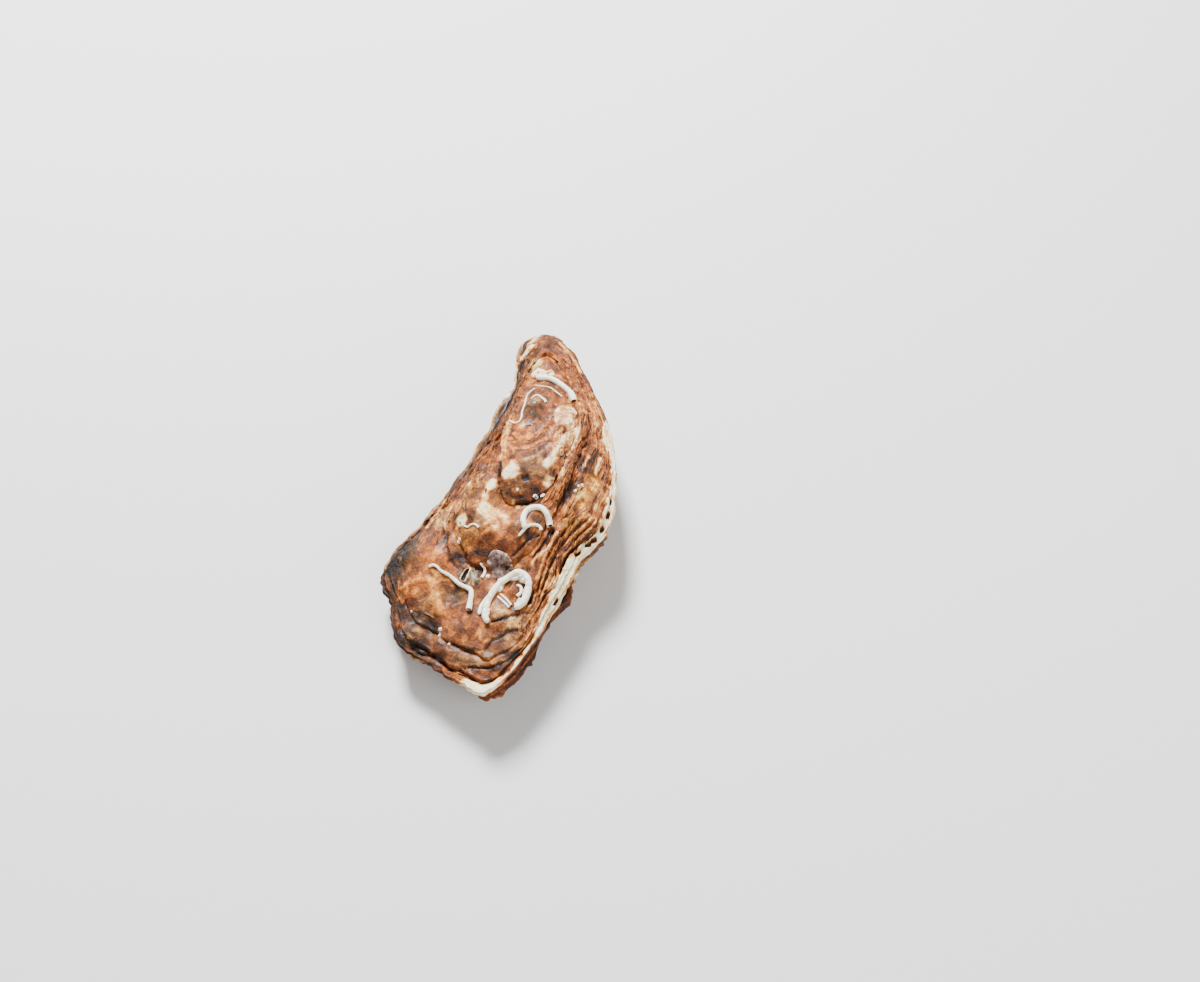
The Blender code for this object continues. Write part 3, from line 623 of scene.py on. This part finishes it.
class Finish:
    """A material being built, with short ways to add the nodes it is made of."""

    def __init__(self, name):
        self.material = bpy.data.materials.new(name)
        self.material.use_nodes = True
        self.nodes, self.links = self.material.node_tree.nodes, self.material.node_tree.links
        self.surface = self.nodes["Principled BSDF"].inputs
        self.where = self.nodes.new("ShaderNodeTexCoord").outputs["Object"]

    def node(self, kind, output, inputs, operation=None):
        """A node's output. Each input is a fixed value or another node's output."""
        node = self.nodes.new("ShaderNode" + kind)
        if operation:
            node.operation = operation
        for key, value in inputs.items():
            if isinstance(value, bpy.types.NodeSocket):
                self.links.new(value, node.inputs[key])
            else:
                node.inputs[key].default_value = value
        return node.outputs[output]

    def carried(self, attribute, output):
        """An attribute of the mesh."""
        node = self.nodes.new("ShaderNodeAttribute")
        node.attribute_name = attribute
        return node.outputs[output]

    def noise(self, vector, size, detail, roughness=0.5, distortion=0.0):
        return self.node("TexNoise", "Fac", {"Vector": vector, "Scale": size, "Detail": detail,
                                             "Roughness": roughness, "Distortion": distortion})

    def times(self, value, factor):
        return self.node("Math", "Value", {0: value, 1: factor}, "MULTIPLY")

    def plus(self, value, part, weight, bias=0.0):
        """value + part * weight + bias."""
        total = self.node("Math", "Value", {0: part, 1: weight, 2: value}, "MULTIPLY_ADD")
        return self.node("Math", "Value", {0: total, 1: bias}, "ADD") if bias else total

    def toned(self, tone, tones, most=1.0):
        """Colour of a tone that was scaled down from 0 to most."""
        ramp = self.nodes.new("ShaderNodeValToRGB")
        stops = ramp.color_ramp.elements
        for index, (at, shade) in enumerate(tones):
            stop = stops[index] if index < 2 else stops.new(at / most)
            stop.position = at / most
            stop.color = (*shade, 1)
        self.links.new(tone, ramp.inputs["Fac"])
        return ramp.outputs["Color"]

    def colour(self, shade):
        self.links.new(shade, self.surface["Base Color"])

    def relief(self, height, depth):
        normal = self.node("Bump", "Normal", {"Height": height, "Distance": depth, "Strength": 1.0})
        self.links.new(normal, self.surface["Normal"])


def shell_finish(name, tones, wet):
    """Horny, chalky shell: light and dark along the growth lines, tinted in patches, with a damp sheen."""
    finish = Finish(name)
    lined = finish.carried("lined", "Fac")
    along_rings = finish.node("Mapping", "Vector", {"Vector": finish.carried("grain", "Vector"),
                                                    "Scale": (0.13, 0.13, 1.6)})
    cloud = finish.noise(finish.where, 450, 6, 0.62, 0.5)
    specks = finish.noise(finish.where, 1900, 4, 0.62)
    lines = finish.times(finish.noise(along_rings, 1.0, 6, 0.62, 0.6), lined)
    tone = finish.plus(finish.carried("level", "Fac"), lines, 0.8)
    tone = finish.plus(tone, finish.times(lined, -0.5), 0.8)
    tone = finish.plus(tone, cloud, 0.9, -0.45)
    tone = finish.plus(tone, specks, 0.4, -0.2)
    tinted = finish.node("VectorMath", "Vector", {0: finish.toned(tone, tones),
                                                  1: finish.carried("hue", "Vector")}, "MULTIPLY")
    finish.colour(finish.node("VectorMath", "Vector", {0: tinted, 1: WHITEST}, "MINIMUM"))
    damp = finish.node("MapRange", "Result", {"Value": cloud, "From Min": 0.35, "From Max": 0.65,
                                              "To Min": 0.38, "To Max": 0.72})
    finish.links.new(damp, finish.surface["Roughness"])
    finish.relief(finish.plus(finish.plus(lines, cloud, 0.9), specks, 0.35), 0.6 * MM)
    finish.surface["Specular IOR Level"].default_value = 0.18
    finish.surface["Coat Weight"].default_value = wet
    finish.surface["Coat Roughness"].default_value = 0.2
    return finish.material


shell = shell_finish("shell", SHELL_TONES, 0.06)
upper = wrapped("upper_shell", [(upper_points, upper_paint)], shell)
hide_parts("upper_valve")

# ---------------------------------------------------------------------------------------------------
# Lower valve: the deep cup that the oyster lies on. Its old edges stand out as frilled ledges, cut by
# radial folds, and its lip shows past the upper valve on the left and in a lobe on the right.

LIP_HEIGHT = 2.0
REACH_LEFT, REACH_RIGHT = 1.4, -0.9
REACH_FRONT, REACH_CORNER, FRONT_STARTS, FRONT_FULL = -1.6, 0.7, -20.0, -48.0
LOBE_AT, LOBE_WIDTH, LOBE_REACH = -25.0, 4.5, 2.4
LAMELLA_AT, LAMELLA_WIDTH, LAMELLA_REACH = 31.0, 6.0, 1.5
FOOT_CENTRE, FOOT_HALF = np.array((-1.5, -5.0)), np.array((8.0, 19.0))
CUP_FULLNESS = 0.62
LEDGES = 9
LEDGE_ROWS = (0.06, 0.15, 0.4, 0.65, 0.85, 0.95, 1.0)
FOLDS = 9

x, y = margin[:, 0], margin[:, 1]
reach = mix(REACH_LEFT, REACH_RIGHT, smooth(-12, 12, x))
reach = mix(reach, mix(REACH_FRONT, REACH_CORNER, smooth(3, 13, x)), smooth(FRONT_STARTS, FRONT_FULL, y))
reach += LOBE_REACH * np.exp(-((y - LOBE_AT) / LOBE_WIDTH) ** 2) * smooth(5, 15, x)
reach += LAMELLA_REACH * np.exp(-((y - LAMELLA_AT) / LAMELLA_WIDTH) ** 2) * smooth(-5, -11, x)
cup_edge = margin + outward(margin) * reach[:, None]
rag = mottle(around_at(0), 4, 71) * 0.5 + mottle(around_at(1), 1.6, 72) * 0.35
lip_out = outward(cup_edge)
bearing = np.arctan2(cup_edge[:, 0] - FOOT_CENTRE[0], cup_edge[:, 1] - FOOT_CENTRE[1])
foot = FOOT_CENTRE + FOOT_HALF * np.stack([np.sin(bearing), np.cos(bearing)], axis=1)
lip_top = parting(cup_edge) - HALF_GAP
cup, cup_level, cup_grain = [], [], []


def cup_row(plan, height, level, depth):
    cup.append(np.column_stack([plan + SHIFT, height]))
    cup_level.append(level)
    cup_grain.append(around_at(depth))


FLAT = np.full(COLUMNS, 0.35)
for share in (0.0, 0.5, 0.9):
    inside = mix(cup_edge.mean(axis=0), cup_edge, share)
    cup_row(inside, parting(inside) - HALF_GAP, FLAT, -2)
lip_rise = smooth(-0.2, 0.8, mottle(around_at(0), 7, 82)) * smooth(0.6, 1.3, reach)
cup_row(cup_edge - lip_out, lip_top, FLAT, -1)
for drop, outer in ((0.0, 0.1), (0.15, 0.4), (0.6, 0.4), (1.2, 0.2), (1.8, -0.2)):
    spot = around_at(drop * 3)
    brink = 0.72 - 0.2 * drop + 0.3 * mottle(spot, (6, 6, 1), 73)
    stands = lip_top - drop + lip_rise * (1 - drop / 2)
    cup_row(cup_edge + lip_out * (outer + rag)[:, None], stands, brink, drop)
fold_turn = turn + 0.35 * mottle(around_at(3), 16, 74)
folds = 0.5 + 0.5 * np.cos(FOLDS * fold_turn)
ledge_ends = np.concatenate([[0], np.cumsum(chance.uniform(0.45, 1.7, LEDGES))])
ledge_ends /= ledge_ends[-1]
ledge_strength = chance.uniform(0.35, 1.15, LEDGES)
for ledge in range(LEDGES):
    frills = smooth(-0.35, 0.6, mottle(around_at(ledge * 7.3), 10, 75)) * ledge_strength[ledge]
    for within in LEDGE_ROWS:
        deep = mix(ledge_ends[ledge], ledge_ends[ledge + 1], within)
        sway = 0.2 * math.sin(math.pi * deep) * mottle(around_at(deep * 14), (17, 17, 10), 81)
        angle = np.clip(deep + sway, 0, 1) * np.pi / 2
        wall = mix(foot, cup_edge, (np.cos(angle) ** CUP_FULLNESS)[:, None])
        spot = np.column_stack([wall, np.full(COLUMNS, deep * 16.0)])
        chips = 1 + 0.9 * mottle(spot, 1.4, 83)
        ledge_out = (1.9 * frills * chips * (1 - within) ** 1.4) * (1 - 0.7 * deep)
        ledge_out = ledge_out - 0.4 * (within == 1) * frills
        proud = ledge_out - 1.7 * folds * np.sin(2 * angle)
        proud = proud + 0.9 * mottle(spot, 5, 76) + 0.35 * mottle(spot, 1.5, 77)
        proud = proud * smooth(1.0, 0.85, deep) + rag * (1 - deep)
        bumps = 0.4 * mottle(spot, 3, 78) * math.sin(math.pi * deep)
        height = (lip_top - LIP_HEIGHT) * (1 - np.sin(angle)) - 0.25 * ledge_out + bumps
        bright = 0.53 + 0.24 * mottle(spot, (11, 11, 2.0), 79) + 0.3 * smooth(0.25, 0.0, within) * frills
        # Where each ledge tucks in under its frill it is painted darker: painted shade in that recess.
        bright = bright - 0.3 * smooth(0.7, 1.0, within) * frills
        bright = bright + 0.08 * folds + 0.16 * mottle(spot, (3, 3, 4), 80)
        cup_row(wall + lip_out * proud[:, None], np.maximum(height, 0.02), bright, 4 + deep * 60)
for share in (1.0, 0.8, 0.55, 0.3, 0.0):
    under = mix(FOOT_CENTRE, foot, share)
    spot = np.column_stack([under, np.zeros(COLUMNS)])
    cup_row(under, np.zeros(COLUMNS), 0.55 + 0.3 * mottle(spot, 5, 79), 64 + (1 - share) * 10)
cup_at = np.array(cup)[..., :2] - SHIFT
# Low on the right towards the front, the cup is painted darker and redder: partly its dark red-brown, partly
# painted shade.
wine_and_shade = smooth(2, 10, cup_at[..., 0]) * smooth(-16, -26, cup_at[..., 1])
CUP_HUE, WINE_HUE = np.array((0.95, 1.3, 1.7)), np.array((1.05, 0.95, 0.95))
cup_paint = {
    "level": np.array(cup_level) - 0.17 * wine_and_shade,
    "lined": np.full((len(cup), COLUMNS), 0.8),
    "hue": mix(CUP_HUE, WINE_HUE, wine_and_shade[..., None]),
    "grain": np.array(cup_grain),
}
lower = wrapped("lower_shell", [(np.array(cup), cup_paint)], shell)
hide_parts("lower_valve")

# ---------------------------------------------------------------------------------------------------
# Worm tubes: chalky tubes and threads that worms have cemented to the upper valve, wrinkled across and
# open at the mouth. Each is sunk a little into the shell.

upper_tree = BVHTree.FromPolygons([vert.co for vert in upper.data.vertices],
                                  [face.vertices for face in upper.data.polygons])


def on_shell(plan):
    """Height of the upper valve's surface at each plan point."""
    found = []
    for x, y in np.asarray(plan) + SHIFT:
        where = upper_tree.ray_cast(Vector((x, y, 60)) * MM, Vector((0, 0, -1)))[0]
        found.append(where.z / MM if where else np.nan)
    found = np.array(found)
    known = ~np.isnan(found)
    return np.interp(np.arange(len(found)), np.flatnonzero(known), found[known])


TUBE_SIDES = 20
# Rings past a tube's two ends: which point of the route, share of the radius, how far ahead, and level.
PINCHED_END = [(0, 0.0, -0.8, 0.9), (0, 0.6, -0.6, 0.9)]
# The rings that go back inside the mouth are painted black: painted shade inside the tube.
OPEN_MOUTH = [(-1, 1.06, 0.1, 1.0), (-1, 0.95, 0.25, 1.0), (-1, 0.72, 0.2, 0.6), (-1, 0.62, -0.4, 0.05),
              (-1, 0.55, -1.2, 0.0), (-1, 0.0, -1.4, 0.0)]


def worm_tube(route, narrow, wide, sunk, seed):
    """A tube from a pinched end of radius narrow to an open mouth of radius wide, lying on the shell."""
    plan = open_curve(route, max(0.22, wide * 0.3))
    steps = len(plan)
    ground = np.convolve(np.pad(on_shell(plan), 4, mode="edge"), np.ones(9) / 9, mode="valid")
    share = np.linspace(0, 1, steps)
    spot = np.column_stack([plan, np.full(steps, seed * 3.0)])
    uneven = 1 + 0.16 * mottle(spot, 2.0, seed) + 0.12 * mottle(spot, 0.6, seed + 1)
    radius = mix(narrow, wide, share) * uneven
    centre = np.column_stack([plan + SHIFT, ground + radius * (1 - sunk)])
    ahead = np.gradient(centre, axis=0)
    ahead /= np.linalg.norm(ahead, axis=1)[:, None]
    side = np.cross(ahead, (0, 0, 1))
    side /= np.linalg.norm(side, axis=1)[:, None]
    up = np.cross(side, ahead)
    phi = np.linspace(0, 2 * np.pi, TUBE_SIDES, endpoint=False)[:, None]
    rings = PINCHED_END + [(index, 1.0, 0.0, 0.95) for index in range(steps)] + OPEN_MOUTH
    points, level = [], []
    for index, size, forward, bright in rings:
        r = radius[index]
        spoke = np.cos(phi) * side[index] + np.sin(phi) * up[index]
        ring = centre[index] + ahead[index] * forward * r + r * size * spoke
        # Random grime, and the tube's underside painted darker: painted shade where it lies on the shell.
        grime_and_underside_shade = 0.2 * mottle(ring, 1.3, seed + 2) - 0.2 * smooth(0.3, -0.7, np.sin(phi[:, 0]))
        points.append(ring)
        level.append(np.clip(bright + grime_and_underside_shade * (bright > 0.8), 0, 1.1))
    return np.array(points), {"level": np.array(level)}


# The ramp runs over tones of 0 to CHALK_MOST.
CHALK_MOST = 1.25
CHALK_TONES = [(0.2, (0.012, 0.006, 0.004)), (0.75, (0.32, 0.15, 0.06)), (1.0, (0.88, 0.74, 0.5)),
               (CHALK_MOST, (0.95, 0.93, 0.8))]


def chalk_finish():
    """Worm chalk: off-white, turning brown where its level is low, which is random grime, and painted shade
    under the tubes and inside their mouths.
    """
    finish = Finish("worm chalk")
    grit = finish.noise(finish.where, 2200, 4)
    tone = finish.plus(finish.carried("level", "Fac"), grit, 0.5)
    finish.colour(finish.toned(finish.times(tone, 1 / CHALK_MOST), CHALK_TONES, CHALK_MOST))
    finish.relief(grit, 0.15 * MM)
    finish.surface["Roughness"].default_value = 0.5
    finish.surface["Specular IOR Level"].default_value = 0.4
    return finish.material


worm_chalk = chalk_finish()
TUBES = {  # node: route, radius at the pinched end, radius at the mouth, how far it is sunk
    "tube_crest": ([(-5.5, 41.3), (-2.5, 41), (0, 40.3), (3, 38.8), (5.8, 37.2), (7.0, 35.6), (7.6, 34.6)],
                   0.75, 0.95, 0.45),
    "tube_hook": ([(6.3, -12), (5, -9.5), (5, -6.7), (6.2, -5.2), (8.3, -4.7), (10, -5.3), (11.7, -7),
                   (12.7, -8.8)], 0.8, 0.9, 0.35),
    "tube_bar": ([(-17.8, -27.4), (-17, -26.8), (-15.7, -27), (-14.2, -27.9), (-11.7, -28.5), (-9.9, -29.4),
                  (-7.8, -30.4), (-4.5, -31.4), (-3.6, -32.8), (-3.2, -35.2), (-2.9, -37.3)],
                 0.35, 0.85, 0.2),
    "tube_crook": ([(3.1, -39.7), (2, -38), (1.7, -35), (1.9, -31.7), (2.9, -28.4), (4.3, -26.3), (6, -24.6),
                    (7.8, -23.8), (9.9, -24.4), (11.4, -26.4), (11.8, -29.1), (11.5, -31.6), (10.6, -33.2),
                    (9.6, -33.6)], 0.85, 1.0, 0.35),
}
for seed, (node, (route, narrow, wide, sunk)) in enumerate(TUBES.items()):
    loft = worm_tube(route, narrow, wide, sunk, 90 + seed)
    tube = wrapped(node.replace("tube_", "worm_"), [loft], worm_chalk)
    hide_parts(node)
THREADS = [  # thinner worm tubes: route, radius at the pinched end, radius at the mouth
    ([(-5.3, 36.8), (-6.8, 34.3), (-6.4, 30.4), (-6.3, 27), (-5.8, 25), (-6, 23.3), (-7.4, 22.7),
      (-9.3, 23.7)], 0.22, 0.28),
    ([(-5.5, 38.3), (-3, 37.8), (-0.5, 37.2), (1.5, 36), (4, 34.7)], 0.16, 0.2),
    ([(-5, 32.5), (-4.3, 33.4), (-3.3, 33.8), (-1.8, 32.7), (-0.5, 31.7), (0.2, 30.7)], 0.22, 0.38),
    ([(5.2, -14.5), (6, -13), (7, -11.3), (8.5, -10.3), (10, -10.2), (10.7, -11)], 0.3, 0.5),
    ([(0.3, -38), (0.2, -35.5), (1, -33), (2.2, -30.5)], 0.5, 0.6),
    ([(4.4, -30.7), (6, -31.6), (8.2, -33.2)], 0.3, 0.35),
    ([(3.9, -31.7), (5.6, -32.7), (7.8, -34.1)], 0.3, 0.35),
    ([(8.3, -27.3), (9.4, -27.6), (9.9, -29), (9.2, -30.4)], 0.35, 0.45),
    ([(-3.6, -23.6), (-2.4, -24.2), (-2, -25.4), (-2.3, -27)], 0.3, 0.45),
    ([(-11.5, -13.8), (-10.4, -14.2), (-9.5, -13.5), (-8.3, -13.4), (-7, -14.2)], 0.25, 0.3),
]
THREAD_SUNK = 0.35
thread_lofts = [worm_tube(*thread, THREAD_SUNK, 120 + 3 * k) for k, thread in enumerate(THREADS)]
threads = wrapped("worm_threads", thread_lofts, worm_chalk)

# ---------------------------------------------------------------------------------------------------
# Crusts: what else has settled on the shell. A plated barnacle and its dead neighbour, a thin grey
# scale, a scar, and lumps and beads of worm chalk. Each is a low skin that follows the shell under it.

BARE = np.array((1.0, 1.05, 1.25))  # hue of bare chalk
CRUST_SIDES = 60
OVAL_POINTS = 14


def crust(outline, profile, hue, rough, seed, spine=None):
    """Rings from the outline to its middle or spine: share of the way, height over the shell, level."""
    ring = closed_curve(outline, CRUST_SIDES)
    start, end = np.array(spine or [ring.mean(axis=0)] * 2, float)
    along = np.clip((ring - start) @ (end - start) / max(1e-6, np.sum((end - start) ** 2)), 0, 1)
    inner = start + along[:, None] * (end - start)
    points, level, grain = [], [], []
    for inwards, height, bright in profile:
        flat = mix(ring, inner, inwards) if inwards < 1 else np.broadcast_to(inner.mean(axis=0), ring.shape)
        spot = np.column_stack([flat, np.full(CRUST_SIDES, seed * 3.0)])
        bumpy = rough * mottle(spot, 1.1, seed) * (0 < inwards < 1)
        points.append(np.column_stack([flat + SHIFT, on_shell(flat) + height + bumpy]))
        level.append(bright + 0.22 * mottle(spot, 0.9, seed + 1))
        grain.append(spot)
    level = np.array(level)
    tint = mix(np.array(hue), BARE, smooth(0.72, 0.92, level)[..., None])
    paint = {"level": level, "lined": np.zeros(level.shape), "grain": np.array(grain), "hue": tint}
    return np.array(points), paint


def oval(x, y, half_x, half_y, seed):
    """Outline of an uneven oval."""
    at = np.linspace(0, 2 * np.pi, OVAL_POINTS, endpoint=False)
    flat = np.stack([np.cos(at), np.sin(at)], axis=1)
    uneven = 1 + 0.14 * mottle(np.column_stack([flat * 2, np.full(OVAL_POINTS, seed * 1.0)]), 1.3, seed)
    return (np.array((x, y)) + flat * (half_x, half_y) * uneven[:, None]).tolist()


# Profiles, from under the crust's rim up and in to its middle: share of the way in, height, level.
# The plated barnacle dips into a slit along its spine and is painted near black there: painted shade in the
# slit.
PLATED = [(1.0, -0.5, 0.4), (0.0, -0.5, 0.5), (0.0, 0.1, 0.9), (0.08, 0.35, 0.66), (0.3, 0.8, 0.6),
          (0.5, 1.05, 0.64), (0.62, 1.2, 0.95), (0.72, 1.15, 0.6), (0.8, 0.75, 0.2), (0.95, 0.55, 0.15),
          (1.0, 0.5, 0.12)]
DEAD_PLATE = [(1.0, -0.4, 0.4), (0.0, -0.4, 0.5), (0.0, 0.1, 0.85), (0.1, 0.3, 0.6), (0.5, 0.45, 0.5),
              (1.0, 0.4, 0.5)]
SCALE_SKIN = [(1.0, -0.4, 0.4), (0.0, -0.4, 0.5), (0.0, 0.12, 0.76), (0.06, 0.3, 0.68), (0.4, 0.36, 0.61),
              (1.0, 0.3, 0.63)]
SCAR_SKIN = [(1.0, -0.4, 0.6), (0.0, -0.4, 0.6), (0.0, 0.02, 0.8), (0.1, 0.16, 0.86), (0.5, 0.2, 0.8),
             (1.0, 0.18, 0.78)]
LUMP = [(1.0, -0.5, 0.8), (0.0, -0.5, 0.85), (0.0, 0.1, 0.85), (0.18, 0.7, 1.0), (0.5, 0.95, 1.02),
        (0.75, 0.6, 0.9), (1.0, 0.4, 0.72)]
BEAD = [(1.0, -0.3, 0.9), (0.0, -0.3, 0.9), (0.0, 0.2, 1.0), (0.3, 0.5, 1.05), (0.7, 0.65, 1.05),
        (1.0, 0.65, 1.0)]
CHIP = [(1.0, -0.6, 0.8), (0.0, -0.6, 0.85), (0.0, 0.15, 0.95), (0.2, 0.55, 1.02), (0.6, 0.7, 1.02),
        (1.0, 0.6, 0.95)]
CHIPS = [  # split chalk at the umbo: outline and spine
    ([(-10.9, 55.2), (-10.5, 54.2), (-11.6, 52), (-13, 50.3), (-13.5, 51), (-12.9, 53), (-12, 54.9)],
     [(-11.3, 54.3), (-12.8, 51.3)]),
    ([(-10.3, 60), (-11, 57.5), (-11.5, 55.4), (-12.3, 55.3), (-12.1, 57.8), (-11.3, 60)],
     [(-10.9, 59.4), (-11.9, 56)]),
]
MURKY, BLUISH, BLUSH = (0.5, 1.15, 3.4), (0.52, 1.15, 4.6), (0.92, 1.1, 1.9)
BARNACLE = [(-5.5, -24.3), (-7, -25.2), (-8.5, -26.3), (-9.3, -28), (-9.2, -29.3), (-7.9, -30.3),
            (-6.2, -30.6), (-5.2, -29.4), (-4.8, -26.9)]
BARNACLE_SPINE = [(-6.9, -25.9), (-7.3, -29.2)]
SCALE = [(-1.8, -21), (-0.5, -19.5), (3, -19.8), (5.3, -21.8), (5, -23.8), (3.4, -26), (1, -26.5),
         (-0.3, -24.3), (-1.8, -23)]
plates = [crust(BARNACLE, PLATED, MURKY, 0.15, 301, BARNACLE_SPINE),
          crust(oval(-3.6, -28, 1.0, 2.0, 302), DEAD_PLATE, MURKY, 0.1, 302)]
leaf = wrapped("barnacle_plates", plates, shell)
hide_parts("barnacle")
SKINS = [(SCALE, SCALE_SKIN, BLUISH), (oval(7, 27.5, 3.3, 4.2, 303), SCAR_SKIN, BLUSH),
         (oval(-4, 31.3, 1.2, 1.0, 304), SCALE_SKIN, MURKY),
         (oval(-2.6, 22.5, 1.8, 1.2, 305), SCALE_SKIN, BLUISH)]
skins = wrapped("scales", [crust(*skin, 0.12, 310 + k) for k, skin in enumerate(SKINS)], shell)
LUMPS = [(-6, 43.1, 2.2, 1.9), (-2.7, 42.6, 2.2, 1.7), (3.4, -27.9, 1.2, 2.4), (6.3, -24.9, 2.4, 1.3),
         (9.6, -25, 1.8, 1.4), (11.4, -28.5, 1.1, 2.4), (2.3, -37.5, 1.0, 1.9), (10.5, -31.9, 1.2, 1.1)]
BEADS = [(-12, -17.8, 0.65), (-0.8, -26.2, 0.6), (-19.2, -40.6, 0.3), (-5.6, -47.9, 0.45), (-9.3, -44.4, 0.6),
         (-9.1, -45.8, 0.45), (0.7, -0.7, 0.4), (18.3, 5.6, 0.5), (17.4, 4.9, 0.45), (16.9, 3.1, 0.5),
         (-13.2, -12.6, 0.4)]
lumps = [crust(oval(*lump, 321 + k), LUMP, BARE, 0.6, 330 + k) for k, lump in enumerate(LUMPS)]
for k, (x, y, size) in enumerate(BEADS, 350):
    lumps.append(crust(oval(x, y, size, size, k), BEAD, BARE, 0.1, k))
lumps += [crust(outline, CHIP, BARE, 0.3, 360 + k, spine) for k, (outline, spine) in enumerate(CHIPS)]
crusts = wrapped("chalk_lumps", lumps, shell)
COILS = [(6.3, -1.0, 0.62), (8.2, -0.2, 0.58)]  # coiled worms: place and radius
turns = np.linspace(0, 3.2 * np.pi, 22)
coiled = []
for k, (x, y, size) in enumerate(COILS):
    spread = size * (0.2 + 0.8 * turns / turns[-1])
    route = np.column_stack([x + spread * np.cos(turns), y + spread * np.sin(turns)])
    coiled.append(worm_tube(route, 0.12, 0.3, 0.2, 370 + k))
coils = wrapped("worm_coils", coiled, worm_chalk)

# ---------------------------------------------------------------------------------------------------
# Flakes: thin shards of old shell that stand up along the growth lines, thickest at the edges. Each is
# fixed along its inner side and has a lifted, pale, chipped outer side.

FLAKES = 260
FLAKE_STEPS = 13
FLAKE_HALF, FLAKE_WIDE, FLAKE_LIFT = (1.2, 4.6), (0.6, 1.9), (0.2, 0.7)  # half length, width and lift
WITHOUT_FLAKES = [(7, -29, 8, 10), (-7, -28, 4, 5), (2, -23, 5, 5), (-3, 28, 6, 9), (0, 3, 8, 8)]
dice = np.random.default_rng(23)
wanted = 0.02 + 0.5 * flank + 0.8 * np.clip(left_band, 0, 1) + 0.9 * smooth(4.5, 0.5, edge_gap)
wanted = wanted * (1 - rim) * smooth(0.5, 1.5, edge_gap)
for patch in WITHOUT_FLAKES:
    wanted = wanted * (1 - near(*patch))
picked = dice.choice(wanted.size, FLAKES, replace=False, p=wanted.ravel() / wanted.sum())
ring_out = outward(plan)
flakes = []
for k, pick in enumerate(picked):
    row, column = divmod(int(pick), COLUMNS)
    half, wide, lift = dice.uniform(*FLAKE_HALF), dice.uniform(*FLAKE_WIDE), dice.uniform(*FLAKE_LIFT)
    spacing = max(0.05, np.linalg.norm(plan[row, (column + 1) % COLUMNS] - plan[row, column]))
    t = np.linspace(0, 1, FLAKE_STEPS)
    at = (column + np.rint((t - 0.5) * 2 * half / spacing).astype(int)) % COLUMNS
    spot = np.column_stack([t * 2 * half, np.full(FLAKE_STEPS, k * 1.7), np.zeros(FLAKE_STEPS)])
    chip = 0.3 * mottle(spot, 0.9, 380)
    arch = np.sin(np.pi * t) ** 0.6
    outer_side = plan[row, at] + ring_out[row, at] * (chip * arch)[:, None]
    inner_side = plan[row, at] - ring_out[row, at] * (wide * arch + 0.05)[:, None]
    edge_ring = np.vstack([outer_side, inner_side[-2:0:-1]])
    stands = np.concatenate([arch, np.zeros(FLAKE_STEPS - 2)])
    points, bright = [], []
    profile = ((1.0, -0.2, 0.5), (0.0, -0.2, 0.5), (0.0, 0.02 + lift * stands, 0.58 + 0.28 * stands),
               (0.12, 0.04 + 0.95 * lift * stands, 0.6 + 0.2 * stands),
               (0.5, 0.02 + 0.5 * lift * stands, 0.56), (1.0, 0.2 * lift, 0.54))
    for inwards, height, tone in profile:
        flat = mix(edge_ring, edge_ring.mean(axis=0), inwards)
        points.append(np.column_stack([flat + SHIFT, on_shell(flat) + height]))
        base = np.broadcast_to(mix(level[row, column], tone, 0.6), len(edge_ring))
        bright.append(base + 0.12 * mottle(points[-1], 1.2, 381))
    bright, points = np.array(bright), np.array(points)
    tint = mix(hue[row, column], BARE, smooth(0.68, 0.88, bright)[..., None])
    paint = {"level": bright, "lined": np.full(bright.shape, 0.3), "grain": points, "hue": tint}
    flakes.append((points, paint))
shards = wrapped("flakes", flakes, shell)
